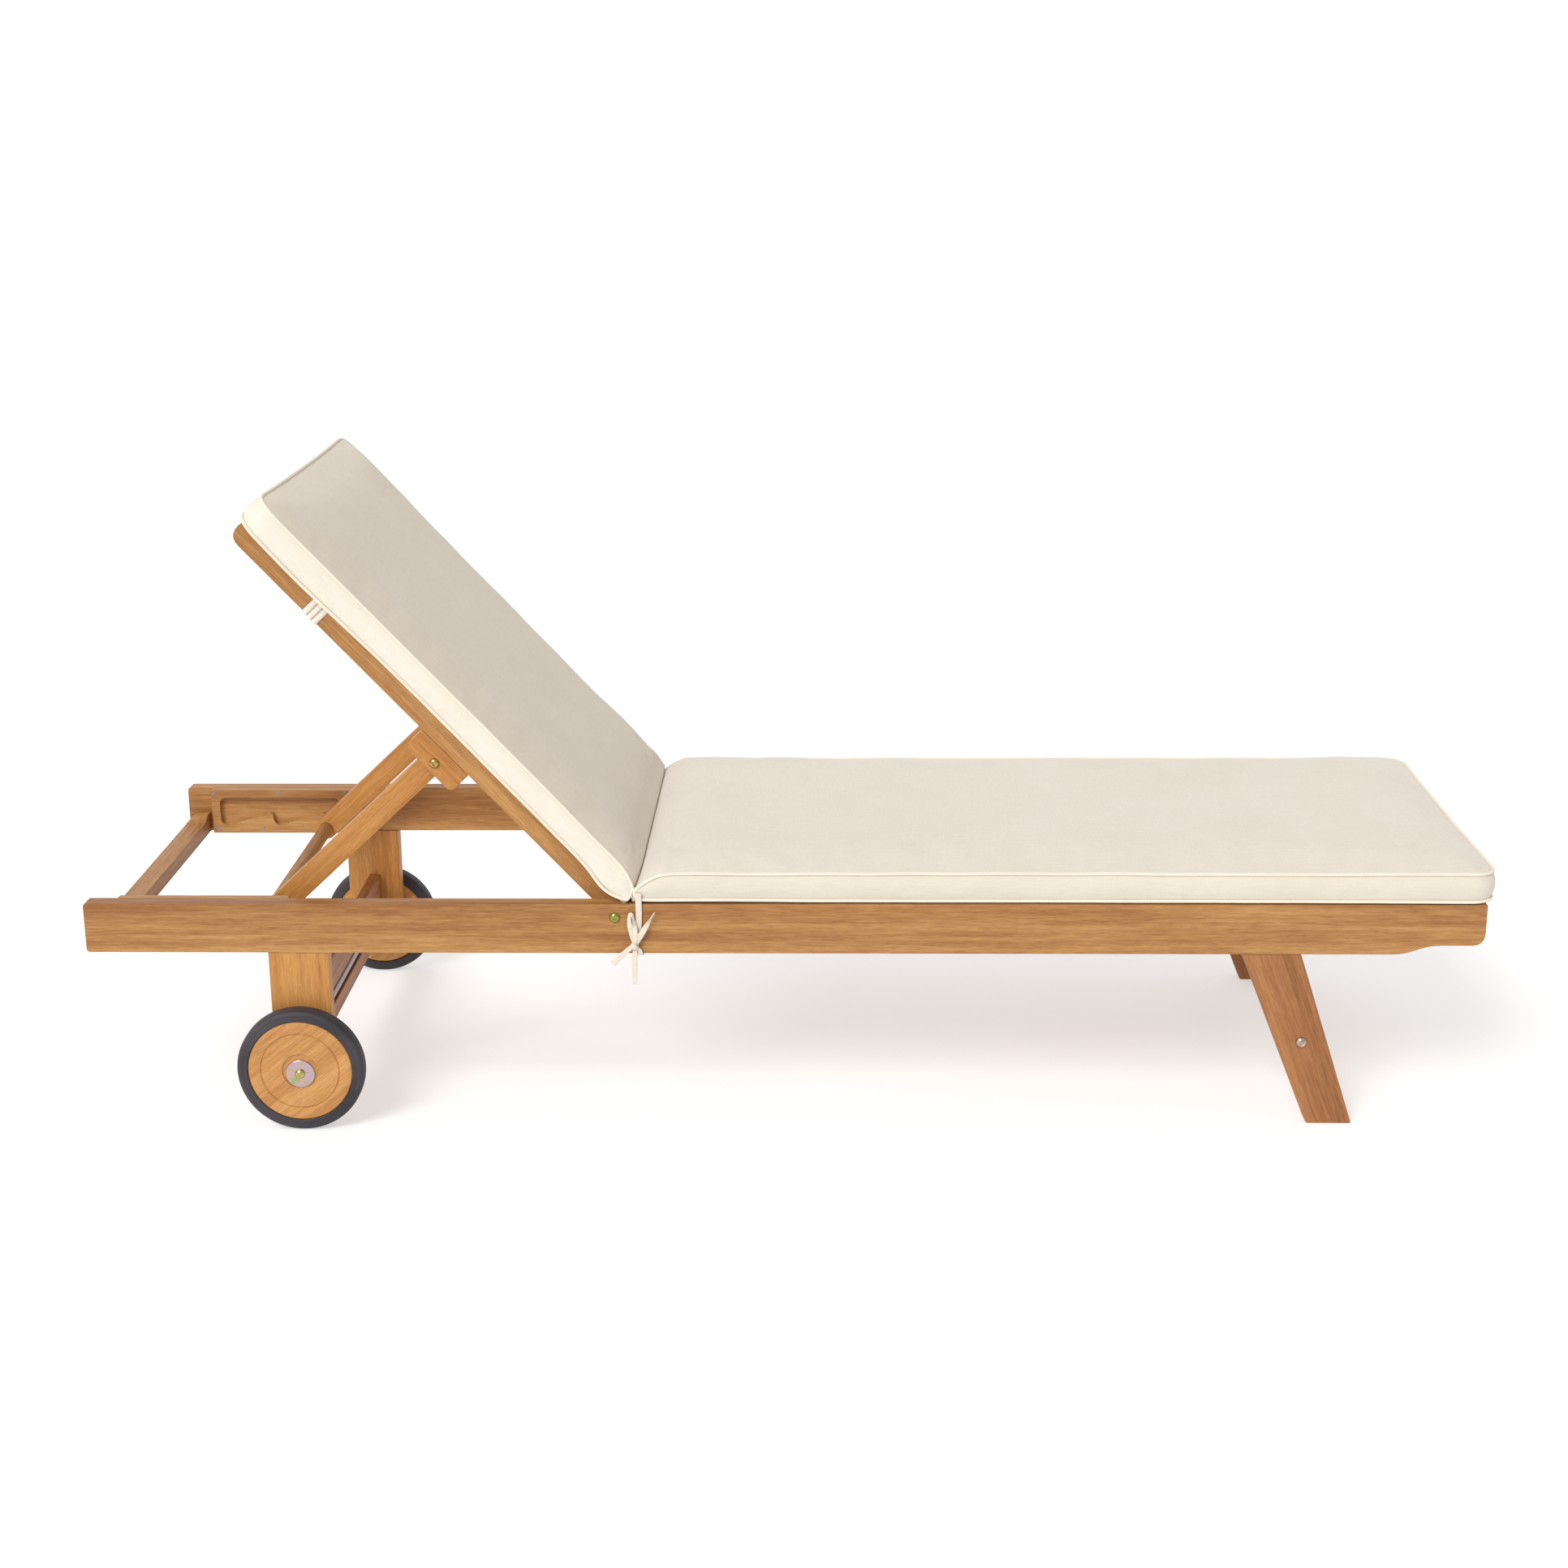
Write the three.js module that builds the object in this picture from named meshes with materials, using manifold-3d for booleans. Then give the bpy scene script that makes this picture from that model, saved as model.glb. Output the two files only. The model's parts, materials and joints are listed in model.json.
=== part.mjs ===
// Reclining sun lounger: a hardwood frame on two splayed foot legs and two wheeled legs, a slatted back
// that a hinged prop holds in a ratchet track, and a two-part cushion.
// Millimetres. +X points to the foot end, +Y to the sitter's left, +Z up, with the floor at z = 0.
// Lengths along the lounger are given from the head end of the side rails and turned into x by fromHead().

import * as THREE from 'three'
import { mergeVertices } from 'three/addons/utils/BufferGeometryUtils.js'
import Module from 'manifold-3d'

const wasm = await Module()
wasm.setup()

// ---- driving dimensions -------------------------------------------------------------------------

const railLength = 2000
const railHeight = 74
const railThickness = 25
const railTop = 336
const frameWidth = 612
const cushionOverhang = 12
const gap = 0.3
const overcut = 5

const hingeFromHead = 762
const hingeHeight = 316.2
const backAngle = 47.2 * Math.PI / 180
const backRailDepthBelow = 17.5
const slatThickness = 16
const cushionThickness = 50
const cushionLift = 0.8

const wheelRadius = 92
const wheelFromHead = 304.5
const wheelWidth = 28

const notchSpacing = 87.5
const topNotchFromHead = 242.5
const dowelRadius = 11

// ---- values that follow from them ---------------------------------------------------------------

const headX = -(railLength + cushionOverhang) / 2
const fromHead = (distance) => headX + distance
const railBottom = railTop - railHeight
const outerFace = frameWidth / 2
const innerFace = outerFace - railThickness
const plateThickness = 14
const plateFace = innerFace - gap - plateThickness
const backOuterFace = plateFace - 3.2
const backInnerFace = backOuterFace - railThickness
const slatTopAboveHinge = railTop - hingeHeight
const legOuterFace = outerFace - 2
const legInnerFace = legOuterFace - railThickness
const cushionHalfWidth = outerFace - 2

// ---- materials ----------------------------------------------------------------------------------

function finish(color, roughness, metalness) {
  return () => new THREE.MeshStandardMaterial({ color, roughness, metalness })
}
const oiledWood = finish(0xba8450, 0.55, 0)
const darkWood = finish(0x9e673e, 0.55, 0)
const legWood = finish(0xcc914b, 0.55, 0)
const discWood = finish(0xd69b5c, 0.5, 0)
const rubber = finish(0x3e3840, 0.8, 0)
const zinc = finish(0xc9c391, 0.3, 1)
const steel = finish(0xb9b6b4, 0.35, 1)
const nylon = finish(0xe6e2d8, 0.6, 0)
const canvas = finish(0xe4dccf, 0.9, 0)
const webbing = finish(0xf2ece0, 0.9, 0)

// ---- building blocks ----------------------------------------------------------------------------

// A closed three.js geometry as a manifold solid, so that it can be cut and joined.
function solid(geometry) {
  const plain = geometry.index ? geometry.clone() : geometry
  plain.deleteAttribute('normal')
  plain.deleteAttribute('uv')
  const merged = mergeVertices(plain, 1e-4)
  const mesh = new wasm.Mesh({
    numProp: 3,
    vertProperties: new Float32Array(merged.attributes.position.array),
    triVerts: new Uint32Array(merged.index.array),
  })
  mesh.merge()
  return new wasm.Manifold(mesh)
}

function geometryOf(body) {
  const mesh = body.getMesh()
  const geometry = new THREE.BufferGeometry()
  geometry.setAttribute('position', new THREE.BufferAttribute(mesh.vertProperties, 3))
  geometry.setIndex(new THREE.BufferAttribute(mesh.triVerts, 1))
  geometry.computeVertexNormals()
  return geometry
}

function piece(parent, name, geometry, material) {
  const mesh = new THREE.Mesh(geometry, material())
  mesh.name = name
  parent.add(mesh)
  return mesh
}

function box(x0, x1, y0, y1, z0, z1) {
  const geometry = new THREE.BoxGeometry(x1 - x0, y1 - y0, z1 - z0)
  geometry.translate((x0 + x1) / 2, (y0 + y1) / 2, (z0 + z1) / 2)
  return geometry
}

// A box given from the middle plane outwards, on the left (side 1) or the right (side -1).
function sideBox(side, x0, x1, inner, outer, z0, z1) {
  return box(x0, x1, Math.min(side * inner, side * outer), Math.max(side * inner, side * outer), z0, z1)
}

// A cylinder across the lounger, from y0 to y1.
function rodAcross(x, z, radius, y0, y1, sides = 24) {
  const geometry = new THREE.CylinderGeometry(radius, radius, y1 - y0, sides)
  geometry.translate(x, (y0 + y1) / 2, z)
  return geometry
}

// A turned piece whose axis lies across the lounger. The profile holds [radius, distance outwards].
function turned(side, x, z, profile, sides) {
  const geometry = new THREE.LatheGeometry(profile.map(([r, y]) => new THREE.Vector2(r, y)), sides)
  if (side < 0) geometry.rotateX(Math.PI)
  geometry.translate(x, 0, z)
  return geometry
}

// An outline whose corners are [a, b, radius].
function filleted(corners) {
  const shape = new THREE.Shape()
  const count = corners.length
  const cut = (from, to, radius) => {
    const run = Math.hypot(to[0] - from[0], to[1] - from[1])
    return [from[0] + (to[0] - from[0]) * radius / run, from[1] + (to[1] - from[1]) * radius / run]
  }
  corners.forEach((corner, i) => {
    const before = corners[(i + count - 1) % count]
    const after = corners[(i + 1) % count]
    const radius = corner[2] ?? 0
    const enter = cut(corner, before, radius)
    const leave = cut(corner, after, radius)
    if (i === 0) shape.moveTo(...enter)
    else shape.lineTo(...enter)
    if (radius > 0) shape.quadraticCurveTo(corner[0], corner[1], ...leave)
  })
  shape.closePath()
  return shape
}

// A side-view outline (x, z) given its thickness from y0 to y1.
function plank(shape, y0, y1, curveSegments = 5) {
  const low = Math.min(y0, y1)
  const high = Math.max(y0, y1)
  const geometry = new THREE.ExtrudeGeometry(shape, { depth: high - low, bevelEnabled: false, curveSegments })
  geometry.rotateX(Math.PI / 2)
  geometry.translate(0, high, 0)
  return geometry
}

// A domed socket-head bolt, its shank reaching inwards from the face that the head bears on.
function domedBolt(side, x, z, face, headRadius, headHeight, shankRadius, length) {
  const socketRadius = headRadius * 0.36
  const socketDepth = headHeight * 0.55
  const profile = [
    [0, face - length],
    [shankRadius, face - length],
    [shankRadius, face],
    [headRadius, face],
    [headRadius * 0.94, face + headHeight * 0.45],
    [headRadius * 0.72, face + headHeight * 0.85],
    [socketRadius, face + headHeight],
    [socketRadius, face + headHeight - socketDepth],
    [0, face + headHeight - socketDepth],
  ]
  return turned(side, x, z, profile, 20)
}

// A drill across the lounger, from one distance outwards to another on one side.
function drill(side, x, z, radius, inner, outer) {
  const ends = [side * inner, side * outer]
  return solid(rodAcross(x, z, radius, Math.min(...ends), Math.max(...ends), 20))
}

const lounger = new THREE.Group()
const sides = [['left', 1], ['right', -1]]

// ---- side rails, crossbars and ledgers ----------------------------------------------------------

const wheelLegWidth = 86
const footLegTopFromHead = [1657, 1741]
const footLegBottomFromHead = [1762, 1827.5]
const tenon = { thickness: 10, height: 34, shoulder: 18 }
const hingeBolt = { headRadius: 7.4, headHeight: 4.4, shankRadius: 4 }

function tenonSpan(fromDistance, toDistance) {
  return [fromHead(fromDistance + tenon.shoulder), fromHead(toDistance - tenon.shoulder)]
}
const wheelLegSpan = [wheelFromHead - wheelLegWidth / 2, wheelFromHead + wheelLegWidth / 2]
const tenonMiddle = (legOuterFace + legInnerFace) / 2

function tenonBox(side, span, clearance) {
  const [x0, x1] = tenonSpan(...span)
  const half = tenon.thickness / 2 + clearance
  const top = railBottom + tenon.height + clearance
  return solid(sideBox(side, x0 - clearance, x1 + clearance, tenonMiddle - half, tenonMiddle + half,
    railBottom - overcut, top))
}

// The rail is thinned at the foot end, where an ogee leads from the full depth up to the nose.
function sideRailOutline() {
  const noseRise = 13.3
  const headCorner = 6
  const noseCorner = 19
  const ogeeStart = 1868
  const ogeeEnd = 1940
  const ogeeMiddle = (ogeeStart + ogeeEnd) / 2
  const shape = new THREE.Shape()
  shape.moveTo(fromHead(0), railBottom + headCorner)
  shape.quadraticCurveTo(fromHead(0), railBottom, fromHead(headCorner), railBottom)
  shape.lineTo(fromHead(ogeeStart), railBottom)
  shape.bezierCurveTo(fromHead(ogeeMiddle), railBottom, fromHead(ogeeMiddle), railBottom + noseRise,
    fromHead(ogeeEnd), railBottom + noseRise)
  shape.lineTo(fromHead(railLength - noseCorner), railBottom + noseRise)
  shape.quadraticCurveTo(fromHead(railLength), railBottom + noseRise,
    fromHead(railLength), railBottom + noseRise + noseCorner)
  shape.lineTo(fromHead(railLength), railTop)
  shape.lineTo(fromHead(headCorner), railTop)
  shape.quadraticCurveTo(fromHead(0), railTop, fromHead(0), railTop - headCorner)
  return shape
}

for (const [name, side] of sides) {
  const body = solid(plank(sideRailOutline(), side * innerFace, side * outerFace, 8))
    .subtract(drill(side, fromHead(hingeFromHead), hingeHeight, hingeBolt.shankRadius + gap,
      innerFace - overcut, outerFace + overcut))
    .subtract(tenonBox(side, wheelLegSpan, gap))
    .subtract(tenonBox(side, footLegTopFromHead, gap))
  piece(lounger, `side_rail_${name}`, geometryOf(body), oiledWood)
}

// The head crossbar is a grip: rounded on its head side, and dished between its two raised ends.
const crossbarWidth = 35
function headCrossbar() {
  const endHeight = 32
  const noseRadius = 23
  const dishDepth = 9
  const rampStart = 12
  const rampEnd = 46
  const rampMiddle = (rampStart + rampEnd) / 2
  const half = innerFace - gap
  const top = railBottom + endHeight
  const dishFloor = top - dishDepth
  const section = filleted([
    [fromHead(0), railBottom],
    [fromHead(crossbarWidth), railBottom],
    [fromHead(crossbarWidth), top],
    [fromHead(0), top, noseRadius],
  ])
  const dish = new THREE.Shape()
  dish.moveTo(-half + rampStart, top + overcut)
  dish.lineTo(-half + rampStart, top)
  dish.bezierCurveTo(-half + rampMiddle, top, -half + rampMiddle, dishFloor, -half + rampEnd, dishFloor)
  dish.lineTo(half - rampEnd, dishFloor)
  dish.bezierCurveTo(half - rampMiddle, dishFloor, half - rampMiddle, top, half - rampStart, top)
  dish.lineTo(half - rampStart, top + overcut)
  const depth = crossbarWidth + 2 * overcut
  const cutter = new THREE.ExtrudeGeometry(dish, { depth, bevelEnabled: false, curveSegments: 6 })
  cutter.rotateX(Math.PI / 2)
  cutter.rotateZ(Math.PI / 2)
  cutter.translate(fromHead(-overcut), 0, 0)
  return geometryOf(solid(plank(section, -half, half)).subtract(solid(cutter)))
}
piece(lounger, 'head_crossbar', headCrossbar(), oiledWood)

const seatStart = 806
const seatEnd = 1972
const ledgerSize = 20
const ledgerTop = railTop - slatThickness - gap
const ledgerBottom = ledgerTop - ledgerSize

const hingeCrossbarStart = seatStart + 2
piece(lounger, 'hinge_crossbar', box(
  fromHead(hingeCrossbarStart), fromHead(hingeCrossbarStart + crossbarWidth),
  -innerFace + gap, innerFace - gap, railBottom, ledgerBottom - gap), oiledWood)

const footCrossbar = { fromHead: seatEnd + 4, inset: 2, lift: 23 }
piece(lounger, 'foot_crossbar', box(
  fromHead(footCrossbar.fromHead), fromHead(railLength - footCrossbar.inset),
  -innerFace + gap, innerFace - gap, railBottom + footCrossbar.lift, railTop), oiledWood)

for (const [name, side] of sides) {
  piece(lounger, `seat_ledger_${name}`, sideBox(side, fromHead(seatStart), fromHead(seatEnd),
    innerFace - gap - ledgerSize, innerFace - gap, ledgerBottom, ledgerTop), oiledWood)
}

// ---- seat slats ---------------------------------------------------------------------------------

const seatSlatCount = 8
const seatSlatWidth = 92

for (let i = 0; i < seatSlatCount; i += 1) {
  const pitch = (seatEnd - seatStart - seatSlatWidth) / (seatSlatCount - 1)
  const start = seatStart + i * pitch
  piece(lounger, `seat_slat_${i + 1}`, box(fromHead(start), fromHead(start + seatSlatWidth),
    -innerFace + gap, innerFace - gap, railTop - slatThickness, railTop), oiledWood)
}

// ---- notch plates -------------------------------------------------------------------------------

// The track is a pocket with three seats for the prop's dowel. Between them a ramp climbs away from
// the head end and drops into the next seat, whose steep wall takes the push of the prop.
const trackFloor = railBottom + 13
const trackCeiling = railTop - 14
function trackOutline() {
  const corner = 10
  const seat = dowelRadius + 1
  const rampFoot = { bend: 8, run: 14, rise: 4 }
  const tooth = { height: 21, tip: 4, tipDrop: 2 }
  const flatSeat = topNotchFromHead - 2 * notchSpacing
  const start = flatSeat - seat
  const end = topNotchFromHead + seat
  const shape = new THREE.Shape()
  shape.moveTo(fromHead(start), trackCeiling - corner)
  shape.lineTo(fromHead(start), trackFloor + seat)
  shape.quadraticCurveTo(fromHead(start), trackFloor, fromHead(flatSeat), trackFloor)
  for (const before of [flatSeat, flatSeat + notchSpacing]) {
    const notch = before + notchSpacing
    shape.quadraticCurveTo(fromHead(before + rampFoot.bend), trackFloor,
      fromHead(before + rampFoot.run), trackFloor + rampFoot.rise)
    shape.lineTo(fromHead(notch - seat - tooth.tip), trackFloor + tooth.height)
    shape.lineTo(fromHead(notch - seat), trackFloor + tooth.height - tooth.tipDrop)
    shape.quadraticCurveTo(fromHead(notch - seat), trackFloor, fromHead(notch), trackFloor)
  }
  shape.quadraticCurveTo(fromHead(end), trackFloor, fromHead(end), trackFloor + seat)
  shape.lineTo(fromHead(end), trackCeiling - corner)
  shape.quadraticCurveTo(fromHead(end), trackCeiling, fromHead(end - corner), trackCeiling)
  shape.lineTo(fromHead(start + corner), trackCeiling)
  shape.quadraticCurveTo(fromHead(start), trackCeiling, fromHead(start), trackCeiling - corner)
  return shape
}

const plateSpan = [42, 290]
const pocketDepth = 9
for (const [name, side] of sides) {
  const plate = sideBox(side, fromHead(plateSpan[0]), fromHead(plateSpan[1]), plateFace, innerFace - gap,
    railBottom, railTop - gap)
  const pocket = plank(trackOutline(), side * (plateFace - overcut), side * (plateFace + pocketDepth))
  piece(lounger, `notch_plate_${name}`, geometryOf(solid(plate).subtract(solid(pocket))), oiledWood)
}

// ---- wheel legs, their stretcher and tie rod ----------------------------------------------------

// The bores of the wheels are wide, so the axle bolts sit below the wheels' middle.
const axleBolt = { headRadius: 7.2, headHeight: 4.5, shankRadius: 5, drop: 3.8 }
const axleHeight = wheelRadius - axleBolt.drop
const tieRod = { fromHead: 310, height: 126, radius: 5.4, reach: legInnerFace + 12 }
const wheelLegBottom = 46
const wheelLegCorner = 22

for (const [name, side] of sides) {
  const outline = filleted([
    [fromHead(wheelLegSpan[0]), wheelLegBottom, wheelLegCorner],
    [fromHead(wheelLegSpan[1]), wheelLegBottom, wheelLegCorner],
    [fromHead(wheelLegSpan[1]), railBottom - gap],
    [fromHead(wheelLegSpan[0]), railBottom - gap],
  ])
  const body = solid(plank(outline, side * legInnerFace, side * legOuterFace))
    .add(tenonBox(side, wheelLegSpan, 0))
    .subtract(drill(side, fromHead(wheelFromHead), axleHeight, axleBolt.shankRadius + gap,
      legInnerFace - overcut, legOuterFace + overcut))
    .subtract(drill(side, fromHead(tieRod.fromHead), tieRod.height, tieRod.radius + gap,
      legInnerFace - overcut, tieRod.reach + gap))
  piece(lounger, `wheel_leg_${name}`, geometryOf(body), legWood)
}

// A groove along the stretcher's foot-end face holds the tie rod.
function wheelLegStretcher() {
  const face = 314
  const thickness = 18
  const bottom = 86
  const height = 100
  const groove = { bottom: 112, height: 24, depth: 10 }
  const half = legInnerFace - gap
  const board = box(fromHead(face - thickness), fromHead(face), -half, half, bottom, bottom + height)
  const cut = box(fromHead(face - groove.depth), fromHead(face + overcut), -half - overcut, half + overcut,
    groove.bottom, groove.bottom + groove.height)
  return geometryOf(solid(board).subtract(solid(cut)))
}
piece(lounger, 'wheel_leg_stretcher', wheelLegStretcher(), darkWood)
piece(lounger, 'stretcher_tie_rod', rodAcross(fromHead(tieRod.fromHead), tieRod.height, tieRod.radius,
  -tieRod.reach, tieRod.reach, 16), steel)

// ---- foot legs and their stretcher --------------------------------------------------------------

const footBolt = {
  fromHead: 1748.6, height: 126.5, headRadius: 7.9, headHeight: 4.6, shankRadius: 4, length: 55,
}
const footLegCorner = 3
const footStretcher = { thickness: 30, height: 50 }

for (const [name, side] of sides) {
  const outline = filleted([
    [fromHead(footLegBottomFromHead[0]), 0, footLegCorner],
    [fromHead(footLegBottomFromHead[1]), 0, footLegCorner],
    [fromHead(footLegTopFromHead[1]), railBottom - gap],
    [fromHead(footLegTopFromHead[0]), railBottom - gap],
  ])
  const body = solid(plank(outline, side * legInnerFace, side * legOuterFace))
    .add(tenonBox(side, footLegTopFromHead, 0))
    .subtract(drill(side, fromHead(footBolt.fromHead), footBolt.height, footBolt.shankRadius + gap,
      legInnerFace - overcut, legOuterFace + overcut))
  piece(lounger, `foot_leg_${name}`, geometryOf(body), darkWood)
}

function footLegStretcher() {
  const half = legInnerFace - gap
  const x = fromHead(footBolt.fromHead)
  const { thickness, height } = footStretcher
  let body = solid(box(x - thickness / 2, x + thickness / 2, -half, half,
    footBolt.height - height / 2, footBolt.height + height / 2))
  for (const [, side] of sides) {
    body = body.subtract(drill(side, x, footBolt.height, footBolt.shankRadius + gap,
      legOuterFace - footBolt.length - overcut, half + overcut))
  }
  return geometryOf(body)
}
piece(lounger, 'foot_leg_stretcher', footLegStretcher(), darkWood)

for (const [name, side] of sides) {
  piece(lounger, `foot_leg_bolt_${name}`, domedBolt(side, fromHead(footBolt.fromHead), footBolt.height,
    legOuterFace + gap, footBolt.headRadius, footBolt.headHeight,
    footBolt.shankRadius, footBolt.length), zinc)
}

// ---- wheels -------------------------------------------------------------------------------------

const wheelInner = outerFace + 6
const wheelOuter = wheelInner + wheelWidth
const discRadius = 75.5
const discFace = wheelOuter - 1
const counterbore = { radius: 25.8, depth: 2 }
const washer = { radius: 20.9, thickness: 2, drop: 0.6 }

// Half-round shoulders of the tyre, as [radius, distance outwards] points.
function tyreProfile() {
  const inner = discRadius + gap
  const round = 7
  const steps = 4
  const points = [[inner, wheelInner], [wheelRadius - round, wheelInner]]
  for (let i = 1; i <= steps; i += 1) {
    const turn = i / steps * Math.PI / 2
    points.push([wheelRadius - round + round * Math.sin(turn), wheelInner + round - round * Math.cos(turn)])
  }
  for (let i = 0; i <= steps; i += 1) {
    const turn = i / steps * Math.PI / 2
    points.push([wheelRadius - round + round * Math.cos(turn), wheelOuter - round + round * Math.sin(turn)])
  }
  points.push([inner, wheelOuter], [inner, wheelInner])
  return points
}

// A wooden disc with a turned groove, a hub boss towards the leg and a counterbore for the washer.
function discProfile() {
  const bore = axleBolt.shankRadius + axleBolt.drop + gap
  const boss = 20
  const bossFace = legOuterFace + 1
  const backFace = wheelInner + 1
  const groove = { radius: 57, depth: 1.5 }
  const counterboreFloor = discFace - counterbore.depth
  return [
    [bore, bossFace],
    [boss, bossFace],
    [boss, backFace],
    [discRadius, backFace],
    [discRadius, discFace],
    [groove.radius + groove.depth, discFace],
    [groove.radius, discFace - groove.depth],
    [groove.radius - groove.depth, discFace],
    [counterbore.radius, discFace],
    [counterbore.radius, counterboreFloor],
    [bore, counterboreFloor],
    [bore, bossFace],
  ]
}

for (const [name, side] of sides) {
  const x = fromHead(wheelFromHead)
  piece(lounger, `wheel_disc_${name}`, turned(side, x, wheelRadius, discProfile(), 48), discWood)
  piece(lounger, `tyre_${name}`, turned(side, x, wheelRadius, tyreProfile(), 56), rubber)
  const inner = discFace - counterbore.depth + gap
  const outer = inner + washer.thickness
  const bore = axleBolt.shankRadius + washer.drop + gap
  piece(lounger, `axle_washer_${name}`, turned(side, x, axleHeight - washer.drop, [
    [bore, inner], [washer.radius, inner], [washer.radius, outer], [bore, outer], [bore, inner]], 28), zinc)
  piece(lounger, `axle_bolt_${name}`, domedBolt(side, x, axleHeight, outer + gap, axleBolt.headRadius,
    axleBolt.headHeight, axleBolt.shankRadius, outer - legInnerFace), zinc)
}

// ---- hinge bolts and spacers --------------------------------------------------------------------

const hingeBoltLength = outerFace - backInnerFace - 2
const spacerRadius = 15
for (const [name, side] of sides) {
  const x = fromHead(hingeFromHead)
  piece(lounger, `hinge_bolt_${name}`, domedBolt(side, x, hingeHeight, outerFace + gap, hingeBolt.headRadius,
    hingeBolt.headHeight, hingeBolt.shankRadius, hingeBoltLength), zinc)
  const bore = hingeBolt.shankRadius + gap
  const inner = backOuterFace + gap
  const outer = innerFace - gap
  piece(lounger, `hinge_spacer_${name}`, turned(side, x, hingeHeight,
    [[bore, inner], [spacerRadius, inner], [spacerRadius, outer], [bore, outer], [bore, inner]], 28), nylon)
}

// ---- back: modelled lying flat with the hinge at its origin, then raised to its top notch --------

const back = new THREE.Group()
back.position.set(fromHead(hingeFromHead), 0, hingeHeight)
back.rotation.y = backAngle
lounger.add(back)

const backLength = 757
const backHeel = 15
const backCorner = { tipLow: 21, tipHigh: 16, heel: 14 }
const propPivot = { x: -332, z: -40 }
const propBolt = { headRadius: 7.2, headHeight: 4.4, shankRadius: 4 }
const blockTop = -backRailDepthBelow - gap
const blockBottom = -54
const blockHalfLength = 46
const blockCorner = { head: 13, foot: 9 }

for (const [name, side] of sides) {
  const outline = filleted([
    [-backLength, -backRailDepthBelow, backCorner.tipLow],
    [backHeel, -backRailDepthBelow, backCorner.heel],
    [backHeel, slatTopAboveHinge, backCorner.heel],
    [-backLength, slatTopAboveHinge, backCorner.tipHigh],
  ])
  const rail = solid(plank(outline, side * backInnerFace, side * backOuterFace))
    .subtract(drill(side, 0, 0, hingeBolt.shankRadius + gap,
      backInnerFace - overcut, backOuterFace + overcut))
  piece(back, `back_rail_${name}`, geometryOf(rail), oiledWood)

  const blockOutline = filleted([
    [propPivot.x - blockHalfLength, blockBottom, blockCorner.head],
    [propPivot.x + blockHalfLength, blockBottom, blockCorner.foot],
    [propPivot.x + blockHalfLength, blockTop],
    [propPivot.x - blockHalfLength, blockTop],
  ])
  const block = solid(plank(blockOutline, side * backInnerFace, side * backOuterFace))
    .subtract(drill(side, propPivot.x, propPivot.z, propBolt.shankRadius + gap,
      backInnerFace - overcut, backOuterFace + overcut))
  piece(back, `prop_block_${name}`, geometryOf(block), oiledWood)
}

function backSlat(name, x, width) {
  piece(back, name, box(x, x + width, -backInnerFace + gap, backInnerFace - gap,
    slatTopAboveHinge - slatThickness, slatTopAboveHinge), oiledWood)
}

const headSlatWidth = 110
const headSlatInset = 8
const backSlatCount = 5
const backSlatWidth = 72
const backSlatStart = -577
const backSlatEnd = -38
backSlat('back_head_slat', -backLength + headSlatInset, headSlatWidth)
for (let i = 0; i < backSlatCount; i += 1) {
  const pitch = (backSlatEnd - backSlatStart - backSlatWidth) / (backSlatCount - 1)
  backSlat(`back_slat_${i + 1}`, backSlatStart + i * pitch, backSlatWidth)
}

// An elastic loop of the cushion round each back rail, in the gap beside the head slat.
const strapWidth = 28
const strapThickness = 1.2
const strapMiddle = -600
for (const [name, side] of sides) {
  const outer = backOuterFace + gap
  const inner = backInnerFace - gap
  const top = slatTopAboveHinge
  const bottom = -backRailDepthBelow - gap
  const x0 = strapMiddle - strapWidth / 2
  const x1 = strapMiddle + strapWidth / 2
  const loop = solid(sideBox(side, x0, x1, inner - strapThickness, outer + strapThickness,
    bottom - strapThickness, top))
    .subtract(solid(sideBox(side, x0 - overcut, x1 + overcut, inner, outer, bottom, top + overcut)))
  piece(back, `elastic_strap_${name}`, geometryOf(loop), webbing)
}

// ---- prop: two legs on the blocks, joined by the dowel that drops into the track -----------------

const propThickness = 25
const propOuterFace = backInnerFace - 2.2
const propInnerFace = propOuterFace - propThickness
const propHalfWidth = 17

// The pivot as it lies with the back raised, and the slope from it down to the dowel in the top notch.
const pivotDrop = {
  x: hingeFromHead + propPivot.x * Math.cos(backAngle) + propPivot.z * Math.sin(backAngle) - topNotchFromHead,
  z: hingeHeight - propPivot.x * Math.sin(backAngle) + propPivot.z * Math.cos(backAngle)
    - (trackFloor + dowelRadius),
}
const propLength = Math.hypot(pivotDrop.x, pivotDrop.z)
const propSlope = Math.atan2(pivotDrop.z, pivotDrop.x)

const prop = new THREE.Group()
prop.position.set(propPivot.x, 0, propPivot.z)
prop.rotation.y = -propSlope - backAngle
back.add(prop)

for (const [name, side] of sides) {
  const outline = new THREE.Shape()
  outline.absarc(0, 0, propHalfWidth, -Math.PI / 2, Math.PI / 2, false)
  outline.absarc(-propLength, 0, propHalfWidth, Math.PI / 2, Math.PI * 1.5, false)
  const leg = solid(plank(outline, side * propInnerFace, side * propOuterFace, 8))
    .subtract(drill(side, 0, 0, propBolt.shankRadius + gap, propInnerFace - overcut, propOuterFace + overcut))
    .subtract(solid(rodAcross(-propLength, 0, dowelRadius + gap, -outerFace, outerFace)))
  piece(prop, `prop_leg_${name}`, geometryOf(leg), oiledWood)
  piece(back, `prop_bolt_${name}`, domedBolt(side, propPivot.x, propPivot.z, backOuterFace + gap,
    propBolt.headRadius, propBolt.headHeight, propBolt.shankRadius, backOuterFace - propInnerFace - 3), zinc)
}

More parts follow.
